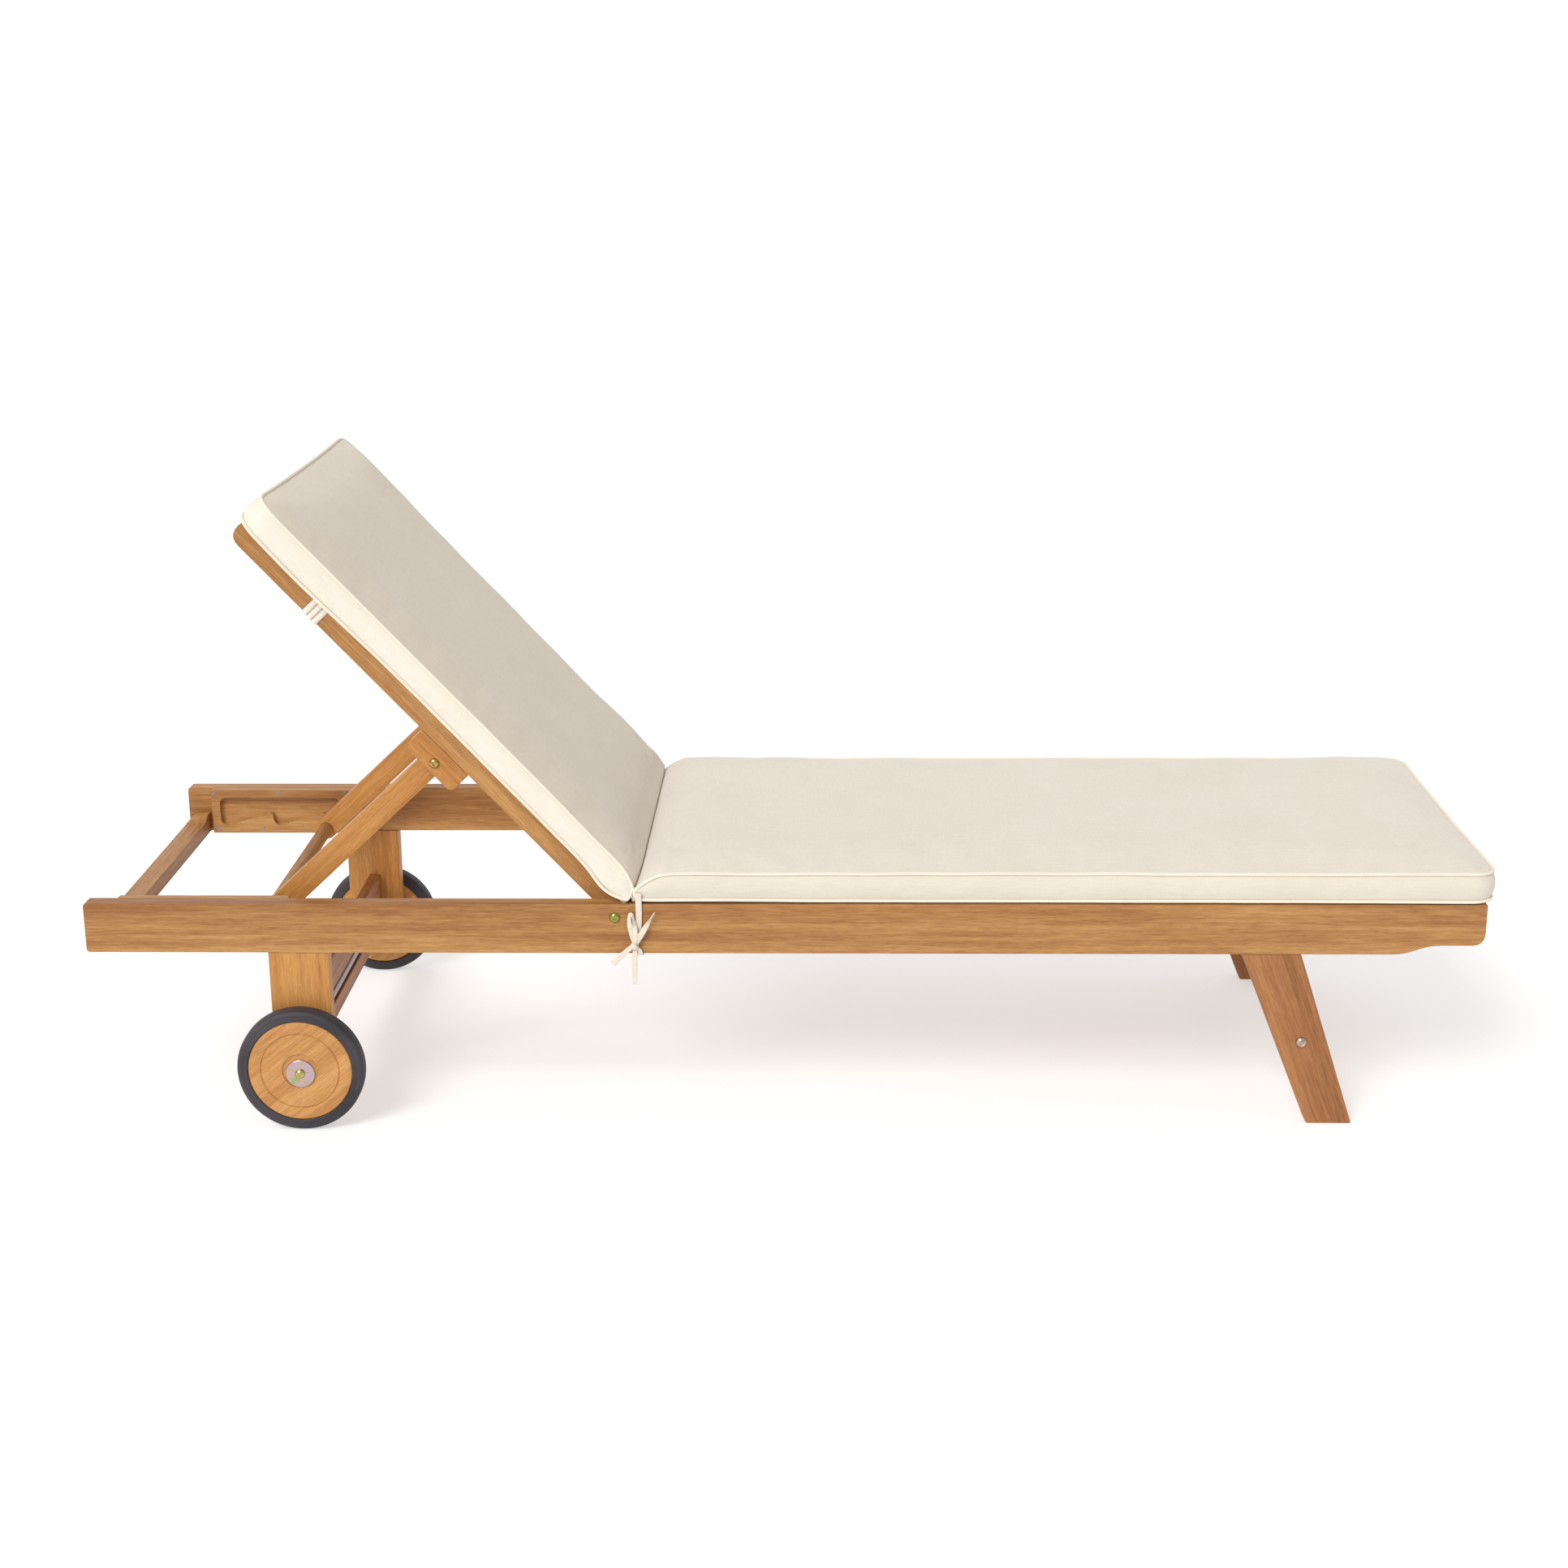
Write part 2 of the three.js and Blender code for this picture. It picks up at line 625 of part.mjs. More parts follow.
// The dowel stops just short of the plates, so that it can pass over the track at every angle.
const dowelHalfLength = plateFace - 0.7
piece(prop, 'prop_dowel',
  rodAcross(-propLength, 0, dowelRadius, -dowelHalfLength, dowelHalfLength), oiledWood)

// ---- cushions -----------------------------------------------------------------------------------

// Both halves are mitred along the plane that halves the angle between seat and back.
const cushionBottom = slatTopAboveHinge + cushionLift
const cushionTop = cushionBottom + cushionThickness
const mitre = (height) => height * Math.tan(backAngle / 2)
const mitreGap = 1.5
const cushionCorner = 14
const backCushionEnd = -backLength - 3

const seatCushion = filleted([
  [fromHead(hingeFromHead) + mitre(cushionBottom) + mitreGap, hingeHeight + cushionBottom],
  [-headX, hingeHeight + cushionBottom, cushionCorner],
  [-headX, hingeHeight + cushionTop, cushionCorner],
  [fromHead(hingeFromHead) + mitre(cushionTop) + mitreGap, hingeHeight + cushionTop],
])
piece(lounger, 'seat_cushion', plank(seatCushion, -cushionHalfWidth, cushionHalfWidth), canvas)

const backCushion = filleted([
  [backCushionEnd, cushionBottom, cushionCorner],
  [-mitre(cushionBottom) - mitreGap, cushionBottom],
  [-mitre(cushionTop) - mitreGap, cushionTop],
  [backCushionEnd, cushionTop, cushionCorner],
])
piece(back, 'back_cushion', plank(backCushion, -cushionHalfWidth, cushionHalfWidth), canvas)

// ---- tie ribbons --------------------------------------------------------------------------------

// One ribbon comes down the outside of the rail, the other down its inside and under it. They are tied
// in a half bow on the outer face. Points are [distance from the head end, distance outwards, height].
const tieRadius = 1.4
const tieFace = outerFace + tieRadius + 1.2
const tieInside = innerFace - tieRadius - 1.2
const tieUnder = railBottom - tieRadius - 2.4
const knot = [790.5, tieFace + 2, 273]
const tieRuns = [
  [[797, tieFace, 342], [797, tieFace, 334], [796.5, tieFace, 320], [795, tieFace + 0.4, 300], knot],
  [[794, tieInside, 334], [794, tieInside, 300], [793.5, tieInside, 264], [793, tieInside + 2, tieUnder + 1],
    [792.5, innerFace + 12, tieUnder], [792, tieFace - 2, tieUnder + 1], [791.5, tieFace + 0.6, 264], knot],
  [[788, tieFace + 2, 274], [785, tieFace + 2.5, 288], [782, tieFace + 3, 306], [782.5, tieFace + 3.2, 318],
    [786, tieFace + 3.4, 323], [789, tieFace + 3, 318], [790.5, tieFace + 2.6, 304], [793, tieFace + 2, 274]],
  [knot, [797, tieFace + 3, 288], [808, tieFace + 3.4, 308], [820, tieFace + 4, 326]],
  [knot, [781, tieFace + 3, 264], [769, tieFace + 4, 254], [756, tieFace + 4, 245]],
  [knot, [790, tieFace + 2, 256], [789, tieFace + 1.6, 236], [789, tieFace + 1.4, 216]],
]

function tieSection() {
  const shape = new THREE.Shape()
  shape.absarc(0, 0, tieRadius, 0, Math.PI * 2, false)
  return shape
}

function ribbonTube(side, points) {
  const place = ([distance, out, height]) => new THREE.Vector3(fromHead(distance), side * out, height)
  const curve = new THREE.CatmullRomCurve3(points.map(place))
  const steps = Math.max(4, Math.round(curve.getLength() / 7))
  const options = { steps, curveSegments: 4, bevelEnabled: false, extrudePath: curve }
  return new THREE.ExtrudeGeometry(tieSection(), options)
}

for (const [name, side] of sides) {
  const ball = new THREE.SphereGeometry(1, 12, 8)
  ball.scale(7, 3.6, 7.5)
  ball.translate(fromHead(knot[0]), side * knot[1], knot[2])
  let body = solid(ball)
  for (const run of tieRuns) body = body.add(solid(ribbonTube(side, run)))
  piece(lounger, `cushion_tie_${name}`, geometryOf(body), webbing)
}

export default lounger
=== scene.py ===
"""Looks of the reclining sun lounger: oiled hardwood, zinc fittings, rubber tyres and piped canvas cushions.

Metres, in the row frame: +X to the foot end, +Y to the sitter's left, +Z up, the floor at z = 0.
Distances "from the head" run along X from the head end of the side rails.
"""

import json
import math

import bmesh
import bpy
import numpy as np
from mathutils import Matrix, Vector, noise

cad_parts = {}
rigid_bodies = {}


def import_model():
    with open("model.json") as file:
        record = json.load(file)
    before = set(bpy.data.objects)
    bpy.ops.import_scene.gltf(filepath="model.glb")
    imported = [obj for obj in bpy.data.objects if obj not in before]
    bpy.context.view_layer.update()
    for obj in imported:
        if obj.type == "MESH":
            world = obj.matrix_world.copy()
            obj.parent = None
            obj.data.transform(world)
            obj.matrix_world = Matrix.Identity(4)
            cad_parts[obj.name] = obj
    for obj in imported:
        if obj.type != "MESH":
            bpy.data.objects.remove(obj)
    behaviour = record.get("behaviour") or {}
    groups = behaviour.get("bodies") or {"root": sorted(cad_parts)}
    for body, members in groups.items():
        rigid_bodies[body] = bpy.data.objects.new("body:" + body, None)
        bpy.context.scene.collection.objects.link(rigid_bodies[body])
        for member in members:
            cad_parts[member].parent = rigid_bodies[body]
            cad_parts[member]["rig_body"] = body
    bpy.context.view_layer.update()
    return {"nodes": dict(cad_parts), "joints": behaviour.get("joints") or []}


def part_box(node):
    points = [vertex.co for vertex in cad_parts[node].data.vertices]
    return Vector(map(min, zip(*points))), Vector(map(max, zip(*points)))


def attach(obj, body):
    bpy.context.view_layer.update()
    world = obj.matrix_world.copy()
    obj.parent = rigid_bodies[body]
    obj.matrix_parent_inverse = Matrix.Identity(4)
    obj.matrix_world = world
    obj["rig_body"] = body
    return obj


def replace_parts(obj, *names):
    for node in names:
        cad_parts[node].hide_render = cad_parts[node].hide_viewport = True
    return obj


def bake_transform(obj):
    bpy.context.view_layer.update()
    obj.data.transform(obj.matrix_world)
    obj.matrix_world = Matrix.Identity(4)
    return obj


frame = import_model()

SIDES = (("left", 1), ("right", -1))
RAIL_LOW, RAIL_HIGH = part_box("side_rail_right")
HEAD_X = RAIL_LOW.x
RAIL_OUTER = -RAIL_LOW.y
RAIL_INNER = -RAIL_HIGH.y
RAIL_BOTTOM = RAIL_LOW.z

JOINTS = {joint["name"]: joint for joint in frame["joints"]}
HINGE = Vector(JOINTS["back_hinge"]["pos_m"])
BACK_ANGLE = math.radians(JOINTS["back_hinge"]["range_deg"][1])
BACK_TURN = Matrix.Rotation(BACK_ANGLE, 4, "Y")


def from_head(distance):
    return HEAD_X + distance


# ---- camera --------------------------------------------------------------------------------------

def add_camera():
    """The camera stands before the right side, a little above the cushions, and looks slightly down."""
    position = Vector((0.0615, -3.5267, 1.4565))
    yaw, pitch, roll = math.radians(-1.119), math.radians(16.298), math.radians(-0.286)
    forward = Vector((math.sin(yaw) * math.cos(pitch), math.cos(yaw) * math.cos(pitch), -math.sin(pitch)))
    level = Vector((math.cos(yaw), -math.sin(yaw), 0))
    right = level * math.cos(roll) + level.cross(forward) * math.sin(roll)
    up = right.cross(forward)
    data = bpy.data.cameras.new("camera")
    data.sensor_width = 36
    data.lens = 54.98
    camera = bpy.data.objects.new("camera", data)
    camera.matrix_world = Matrix.Translation(position) @ Matrix((right, up, -forward)).transposed().to_4x4()
    bpy.context.scene.collection.objects.link(camera)
    bpy.context.scene.camera = camera


add_camera()


# ---- node materials ------------------------------------------------------------------------------

class Shader:
    """A material's node tree, with short calls for the nodes that the finishes below use."""

    def __init__(self, name):
        self.material = bpy.data.materials.new(name)
        self.material.use_nodes = True
        self.nodes = self.material.node_tree.nodes
        self.links = self.material.node_tree.links
        self.surface = self.nodes["Principled BSDF"]
        self.place = self.nodes.new("ShaderNodeTexCoord").outputs["Object"]

    def feed(self, socket, value):
        if isinstance(value, bpy.types.NodeSocket):
            self.links.new(value, socket)
        elif value is not None:
            socket.default_value = value

    def mapped(self, scale, rotation=(0, 0, 0), shift=(0, 0, 0), place=None):
        node = self.nodes.new("ShaderNodeMapping")
        self.links.new(place or self.place, node.inputs["Vector"])
        node.inputs["Location"].default_value = shift
        node.inputs["Rotation"].default_value = rotation
        node.inputs["Scale"].default_value = scale
        return node.outputs["Vector"]

    def noise(self, vector, scale=1.0, detail=2.0, roughness=0.5, distortion=0.0):
        node = self.nodes.new("ShaderNodeTexNoise")
        self.links.new(vector, node.inputs["Vector"])
        node.inputs["Scale"].default_value = scale
        node.inputs["Detail"].default_value = detail
        node.inputs["Roughness"].default_value = roughness
        node.inputs["Distortion"].default_value = distortion
        return node.outputs["Fac"]

    def wave(self, vector, direction, scale, distortion=0.0):
        node = self.nodes.new("ShaderNodeTexWave")
        node.bands_direction = direction
        self.links.new(vector, node.inputs["Vector"])
        node.inputs["Scale"].default_value = scale
        node.inputs["Distortion"].default_value = distortion
        return node.outputs["Fac"]

    def ramp(self, value, stops):
        node = self.nodes.new("ShaderNodeValToRGB")
        self.links.new(value, node.inputs["Fac"])
        elements = node.color_ramp.elements
        while len(elements) < len(stops):
            elements.new(0.5)
        for element, (position, color) in zip(elements, stops):
            element.position = position
            element.color = (*color, 1) if len(color) == 3 else color
        return node.outputs["Color"]

    def math(self, operation, a, b):
        node = self.nodes.new("ShaderNodeMath")
        node.operation = operation
        self.feed(node.inputs[0], a)
        self.feed(node.inputs[1], b)
        return node.outputs[0]

    def range(self, value, low, high):
        node = self.nodes.new("ShaderNodeMapRange")
        self.links.new(value, node.inputs["Value"])
        node.inputs["To Min"].default_value = low
        node.inputs["To Max"].default_value = high
        return node.outputs["Result"]

    def mix(self, a, b, factor, blend="MIX"):
        node = self.nodes.new("ShaderNodeMix")
        node.data_type = "RGBA"
        node.blend_type = blend
        for key, value in (("Factor", factor), ("A", a), ("B", b)):
            socket = [s for s in node.inputs if s.name == key and (s.type == "RGBA") == (key != "Factor")][0]
            self.feed(socket, (*value, 1) if isinstance(value, tuple) else value)
        return [s for s in node.outputs if s.type == "RGBA"][0]

    def bump(self, height, distance, strength=1.0, before=None):
        node = self.nodes.new("ShaderNodeBump")
        self.links.new(height, node.inputs["Height"])
        node.inputs["Distance"].default_value = distance
        node.inputs["Strength"].default_value = strength
        if before is not None:
            self.links.new(before, node.inputs["Normal"])
        return node.outputs["Normal"]

    def set(self, **sockets):
        for key, value in sockets.items():
            self.feed(self.surface.inputs[key.replace("_", " ")], value)
        return self.material


def tone(red, green, blue):
    """An sRGB colour of 0 to 255 as linear light."""
    return tuple(c / 255 / 12.92 if c <= 10 else ((c / 255 + 0.055) / 1.055) ** 2.4
                 for c in (red, green, blue))


ALONG_X = (0, 0, 0)
ALONG_Y = (0, 0, math.pi / 2)
ALONG_Z = (0, math.pi / 2, 0)
TEAK = (tone(147, 96, 49), tone(172, 123, 70), tone(193, 146, 87))
TEAK_DARK = (tone(130, 79, 42), tone(156, 102, 58), tone(174, 120, 72))
TEAK_PALE = (tone(160, 102, 44), tone(182, 124, 61), tone(200, 144, 78))
TEAK_DISC = (tone(174, 118, 62), tone(196, 141, 80), tone(210, 158, 98))


def wood(name, tones, turn, seed):
    """Oiled hardwood. The turn (an XYZ rotation) brings the board's length in line with the grain's own X."""
    s = Shader(name)
    shift = (seed * 0.731 % 3, seed * 0.417 % 5, seed * 0.293 % 7)
    board = s.mapped((1, 1, 1), turn, shift)
    figure = s.noise(s.mapped((0.8, 22, 22), place=board), detail=2, roughness=0.5, distortion=0.4)
    band = s.noise(s.mapped((5, 130, 130), place=board), detail=2, roughness=0.6, distortion=0.3)
    streak = s.noise(s.mapped((22, 420, 420), place=board), detail=3, roughness=0.65, distortion=0.2)
    fleck = s.noise(s.mapped((60, 900, 900), place=board), detail=2, roughness=0.6)
    pore = s.noise(s.mapped((70, 1700, 1700), place=board), detail=1)
    grain = s.math("ADD", s.math("MULTIPLY", figure, 0.42), s.math("MULTIPLY", band, 0.26))
    grain = s.math("ADD", grain, s.math("MULTIPLY", streak, 0.32))
    color = s.ramp(grain, [(0.39, tones[0]), (0.5, tones[1]), (0.61, tones[2])])
    flecks = s.ramp(fleck, [(0.34, (0.72, 0.66, 0.6)), (0.52, (1, 1, 1))])
    color = s.mix(color, flecks, 0.55, "MULTIPLY")
    pores = s.ramp(pore, [(0.3, (0.5, 0.42, 0.36)), (0.4, (1, 1, 1))])
    color = s.mix(color, pores, 0.4, "MULTIPLY")
    height = s.math("ADD", s.math("MULTIPLY", fleck, 0.6), s.math("MULTIPLY", pore, 0.4))
    return s.set(
        Base_Color=color,
        Roughness=s.range(streak, 0.58, 0.42),
        Specular_IOR_Level=0.4,
        Normal=s.bump(height, 0.0003, 0.3),
    )


def canvas(name, color, turn=(0, 0, 0)):
    """Plain woven cotton canvas. The turn lines the weave up with a piece that doesn't lie flat."""
    s = Shader(name)
    cloth = s.mapped((1, 1, 1), turn)
    threads = s.mapped((1, 1, 1), place=cloth)
    weave = s.math("ADD", s.wave(threads, "X", 420, 0.4), s.wave(threads, "Y", 420, 0.4))
    weave = s.math("ADD", weave, s.wave(threads, "Z", 420, 0.4))
    slub = s.noise(s.mapped((30, 420, 420), place=cloth), detail=3)
    cross_slub = s.noise(s.mapped((420, 30, 420), place=cloth), detail=3)
    blotch = s.noise(cloth, scale=9, detail=3)
    mottle = s.math("ADD", s.math("MULTIPLY", slub, 0.5), s.math("MULTIPLY", cross_slub, 0.5))
    shade = s.ramp(mottle, [(0.3, (0.93, 0.925, 0.915)), (0.6, (1, 1, 1))])
    tint = s.ramp(blotch, [(0.35, (0.975, 0.97, 0.96)), (0.65, (1, 1, 1))])
    base = s.mix(s.mix(color, shade, 1.0, "MULTIPLY"), tint, 1.0, "MULTIPLY")
    relief = s.bump(weave, 0.00025, 0.35)
    relief = s.bump(blotch, 0.004, 0.12, relief)
    return s.set(
        Base_Color=base,
        Roughness=0.92,
        Specular_IOR_Level=0.2,
        Sheen_Weight=0.25,
        Sheen_Roughness=0.5,
        Normal=relief,
    )


def rubber():
    s = Shader("tyre_rubber")
    fine = s.noise(s.place, scale=900, detail=2)
    dust = s.noise(s.place, scale=14, detail=4)
    color = s.mix(tone(38, 34, 40), tone(66, 60, 66), s.ramp(dust, [(0.35, (0, 0, 0)), (0.7, (1, 1, 1))]))
    return s.set(Base_Color=color, Roughness=s.range(dust, 0.5, 0.75), Normal=s.bump(fine, 0.0002, 0.3))


def passivated_zinc(name, film):
    """Zinc under a thin passivation film, whose colour drifts between the tones given."""
    s = Shader(name)
    drift = s.noise(s.place, scale=70, detail=2, distortion=1.2)
    scratch = s.noise(s.mapped((200, 200, 1800)), detail=2)
    color = s.ramp(drift, [(0.32 + 0.12 * i, shade) for i, shade in enumerate(film)])
    return s.set(Base_Color=color, Metallic=1.0, Roughness=s.range(scratch, 0.16, 0.38),
                 Normal=s.bump(scratch, 0.0001, 0.25))


def dull_steel():
    s = Shader("dull_steel")
    scratch = s.noise(s.mapped((900, 30, 900)), detail=3)
    color = s.mix(tone(146, 138, 140), tone(178, 170, 172), scratch)
    return s.set(Base_Color=color, Metallic=1.0, Roughness=s.range(scratch, 0.35, 0.55),
                 Normal=s.bump(scratch, 0.0001, 0.2))


def natural_nylon():
    s = Shader("natural_nylon")
    cloud = s.noise(s.place, scale=60, detail=3)
    color = s.mix(tone(226, 221, 208), tone(240, 236, 226), cloud)
    return s.set(Base_Color=color, Roughness=0.5, Subsurface_Weight=0.1, Normal=s.bump(cloud, 0.0003, 0.15))


BACK_CLOTH_TURN = (0, -BACK_ANGLE, 0)
SEAT_CANVAS = canvas("seat_canvas", tone(224, 215, 203))
SEAT_BOXING = canvas("seat_boxing", tone(222, 214, 199))
# Painted shade: the back's top is the seat's cloth, painted darker and warmer than the seat's canvas.
BACK_CANVAS_SHADED = canvas("back_canvas_shaded", tone(220, 208, 191), BACK_CLOTH_TURN)
# Painted light: the back's boxing is the same cloth, painted lighter than its top and the seat's boxing.
BACK_BOXING_LIT = canvas("back_boxing_lit", tone(234, 227, 213), BACK_CLOTH_TURN)
# Painted highlight: the piping is the cushions' own canvas, painted lighter than the panels for the light on
# the raised cord.
PIPING_LIT = canvas("piping_canvas_lit", tone(239, 230, 214))
RIBBON = canvas("ribbon_cotton", tone(230, 218, 204))
ELASTIC = canvas("elastic_web", tone(238, 233, 223), BACK_CLOTH_TURN)
# Painted shade: a darker copy of the elastic's cloth for the creases between its channels.
ELASTIC_GROOVE_SHADE = canvas("elastic_groove_shade", tone(214, 201, 180), BACK_CLOTH_TURN)
RUBBER = rubber()
# The hinge bolts' yellow-green passivation film, its tones also darkened as a painted reflection of dark
# surroundings.
GREEN_ZINC_DARK_REFLECTION = passivated_zinc("green_zinc_dark_reflection", (tone(132, 138, 66), tone(176, 174, 94), tone(154, 160, 84)))
BRASSY_ZINC = passivated_zinc("brassy_zinc", (tone(150, 122, 62), tone(196, 166, 98), tone(170, 142, 78)))
ROSY_ZINC = passivated_zinc("rosy_zinc", (tone(176, 156, 142), tone(212, 190, 178), tone(190, 172, 160)))
STRAW_ZINC = passivated_zinc("straw_zinc", (tone(166, 154, 92), tone(208, 194, 130), tone(188, 176, 116)))
WASHER_ZINC = passivated_zinc("washer_zinc", (tone(156, 176, 122), tone(204, 172, 158), tone(190, 170, 184)))
STEEL = dull_steel()
NYLON = natural_nylon()


# ---- mesh helpers --------------------------------------------------------------------------------

def add_piece(name, vertices, faces, material, body, smooth=True):
    mesh = bpy.data.meshes.new(name)
    mesh.from_pydata([tuple(v) for v in vertices], [], faces)
    mesh.validate()
    piece = bpy.data.objects.new(name, mesh)
    bpy.context.scene.collection.objects.link(piece)
    mesh.materials.append(material)
    if smooth:
        mesh.polygons.foreach_set("use_smooth", [True] * len(mesh.polygons))
    if body is not None:
        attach(piece, body)
    return piece


def face_outwards(piece):
    mesh = piece.data
    shape = bmesh.new()
    shape.from_mesh(mesh)
    bmesh.ops.recalc_face_normals(shape, faces=shape.faces)
    shape.to_mesh(mesh)
    shape.free()
    mesh.update()


def ring_faces(rings, sides, first_cap=True, last_cap=True, closed=False):
    """Quads between rings of points, each with the same number of sides, and the caps at the two ends."""
    faces = []
    for i in range(rings if closed else rings - 1):
        a, b = i * sides, ((i + 1) % rings) * sides
        for j in range(sides):
            k = (j + 1) % sides
            faces.append((a + j, a + k, b + k, b + j))
    if not closed and first_cap:
        faces.append(tuple(reversed(range(sides))))
    if not closed and last_cap:
        faces.append(tuple((rings - 1) * sides + j for j in range(sides)))
    return faces


def smooth_line(points, step):
    """A Catmull-Rom line through rows of numbers, of which the first three are a place, about step apart."""
    rows = np.array(points, float)
    padded = np.vstack([2 * rows[0] - rows[1], rows, 2 * rows[-1] - rows[-2]])
    out = []
    for i in range(1, len(padded) - 2):
        a, b, c, d = padded[i - 1:i + 3]
        count = max(2, int(np.linalg.norm(c[:3] - b[:3]) / step))
        for k in range(count):
            t = k / count
            out.append(0.5 * (2 * b + (c - a) * t + (2 * a - 5 * b + 4 * c - d) * t ** 2
                              + (3 * b - a - 3 * c + d) * t ** 3))
    out.append(rows[-1])
    return np.array(out)


# ---- tie ribbons ---------------------------------------------------------------------------------

RIBBON_WIDTH = 0.0085
RIBBON_THICKNESS = 0.0007
OUT, IN, DOWN, SKEW, EDGE = (0, 1, 0), (0, -1, 0), (0, 0, -1), (-0.6, 0.8, 0), (0.85, 0.5, 0)
TIE_FACE = RAIL_OUTER + 0.0026
TIE_INSIDE = RAIL_INNER - 0.0026
TIE_UNDER = RAIL_BOTTOM - 0.0038
KNOT = (0.7898, TIE_FACE + 0.0046, 0.2755)
KNOT_TILT = math.radians(40)

# Each stop on a ribbon is (distance from the head, distance outwards, height, facing, share of its width).
STRAP_AND_TAIL = [
    (0.7964, TIE_FACE + 0.0005, 0.3535, OUT, 1.05), (0.7968, TIE_FACE, 0.3340, OUT, 1.05),
    (0.7968, TIE_FACE, 0.3200, OUT, 1.05), (0.7962, TIE_FACE + 0.0002, 0.3020, OUT, 1),
    (0.7950, TIE_FACE + 0.0008, 0.2880, OUT, 0.85), (0.7915, TIE_FACE + 0.0020, 0.2755, OUT, 0.5),
    (0.7898, TIE_FACE + 0.0022, 0.2620, OUT, 0.95), (0.7892, TIE_FACE + 0.0018, 0.2420, OUT, 0.95),
    (0.7892, TIE_FACE + 0.0014, 0.2260, OUT, 0.8), (0.7890, TIE_FACE + 0.0014, 0.2165, SKEW, 0.6),
]
UNDER_AND_TAIL = [
    (0.7970, TIE_INSIDE, 0.3340, IN, 1), (0.7970, TIE_INSIDE, 0.3000, IN, 1),
    (0.7972, TIE_INSIDE, 0.2700, IN, 1), (0.7974, TIE_INSIDE + 0.0010, 0.2606, IN, 1),
    (0.7976, RAIL_INNER + 0.0040, TIE_UNDER, DOWN, 1), (0.7978, RAIL_INNER + 0.0120, TIE_UNDER, DOWN, 1),
    (0.7980, RAIL_OUTER - 0.0030, TIE_UNDER, DOWN, 1), (0.7982, TIE_FACE + 0.0004, 0.2612, OUT, 0.95),
    (0.7972, TIE_FACE + 0.0028, 0.2680, OUT, 0.7), (0.7925, TIE_FACE + 0.0036, 0.2735, OUT, 0.6),
    (0.7925, TIE_FACE + 0.0046, 0.2800, OUT, 0.9), (0.7985, TIE_FACE + 0.0050, 0.2905, OUT, 1.0),
    (0.8060, TIE_FACE + 0.0048, 0.3030, OUT, 0.9), (0.8135, TIE_FACE + 0.0044, 0.3155, EDGE, 0.7),
    (0.8200, TIE_FACE + 0.0044, 0.3265, EDGE, 0.35),
]
LOOP_AND_TAIL = [
    (0.7905, TIE_FACE + 0.0046, 0.2770, OUT, 0.6), (0.7875, TIE_FACE + 0.0040, 0.2890, OUT, 0.85),
    (0.7845, TIE_FACE + 0.0034, 0.3030, OUT, 0.9), (0.7832, TIE_FACE + 0.0032, 0.3150, SKEW, 0.85),
    (0.7846, TIE_FACE + 0.0040, 0.3225, SKEW, 0.75), (0.7878, TIE_FACE + 0.0050, 0.3222, EDGE, 0.7),
    (0.7900, TIE_FACE + 0.0054, 0.3130, EDGE, 0.75), (0.7914, TIE_FACE + 0.0052, 0.2990, OUT, 0.8),
    (0.7916, TIE_FACE + 0.0056, 0.2860, OUT, 0.75), (0.7893, TIE_FACE + 0.0060, 0.2775, OUT, 0.75),
    (0.7832, TIE_FACE + 0.0054, 0.2718, OUT, 0.85), (0.7747, TIE_FACE + 0.0048, 0.2643, OUT, 0.9),
    (0.7662, TIE_FACE + 0.0044, 0.2565, OUT, 1.05), (0.7584, TIE_FACE + 0.0042, 0.2487, OUT, 1.2),
]


def add_ribbon(name, side, stops):
    """A flat woven ribbon swept along its stops. Its section is a shallow cup with rounded edges."""
    rows = [(from_head(d), side * out, z, f[0], side * f[1], f[2], w) for d, out, z, f, w in stops]
    line = smooth_line(rows, 0.0016)
    centre = line[:, :3]
    tangents = np.gradient(centre, axis=0)
    section = [(-1, 0.0), (-0.92, 0.5), (-0.4, 0.35), (0.4, 0.35), (0.92, 0.5), (1, 0.0),
               (0.92, -0.5), (0.4, -0.65), (-0.4, -0.65), (-0.92, -0.5)]
    vertices = []
    for point, tangent, row in zip(centre, tangents, line):
        along = Vector(tangent).normalized()
        facing = Vector(row[3:6])
        facing = (facing - facing.dot(along) * along).normalized()
        across = along.cross(facing)
        half = RIBBON_WIDTH / 2 * row[6]
        vertices += [Vector(point) + across * (u * half) + facing * (v * RIBBON_THICKNESS)
                     for u, v in section]
    faces = ring_faces(len(centre), len(section))
    ribbon = add_piece(name, vertices, faces, RIBBON, "frame")
    face_outwards(ribbon)
    return ribbon


def add_knot(side):
    """The half bow's knot: one band wound tightly round the crossing strands, slanted."""
    turns, around = 30, 10
    radius, half_height, thickness = 0.0046, 0.0036, 0.0011
    vertices = []
    for i in range(turns):
        angle = 2 * math.pi * i / turns
        centre = Vector((radius * math.cos(angle), radius * math.sin(angle), 0))
        outward = centre.normalized()
        pucker = 1 + 0.1 * math.sin(3 * angle)
        for j in range(around):
            turn = 2 * math.pi * j / around
            vertices.append(centre + outward * (thickness * math.cos(turn))
                            + Vector((0, 0, half_height * pucker * math.sin(turn))))
    distance, out, height = KNOT
    place = Matrix.Translation((from_head(distance), side * out, height)) @ Matrix.Rotation(KNOT_TILT, 4, "Y")
    knot = add_piece(f"tie_knot_{'left' if side > 0 else 'right'}", [place @ v for v in vertices],
                     ring_faces(turns, around, closed=True), RIBBON, "frame")
    face_outwards(knot)
    return knot


for side_name, side in SIDES:
    strap = add_ribbon(f"tie_strap_{side_name}", side, STRAP_AND_TAIL)
    add_ribbon(f"tie_under_{side_name}", side, UNDER_AND_TAIL)
    add_ribbon(f"tie_loop_{side_name}", side, LOOP_AND_TAIL)
    add_knot(side)
    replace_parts(strap, f"cushion_tie_{side_name}")


# ---- hardwood pieces -----------------------------------------------------------------------------

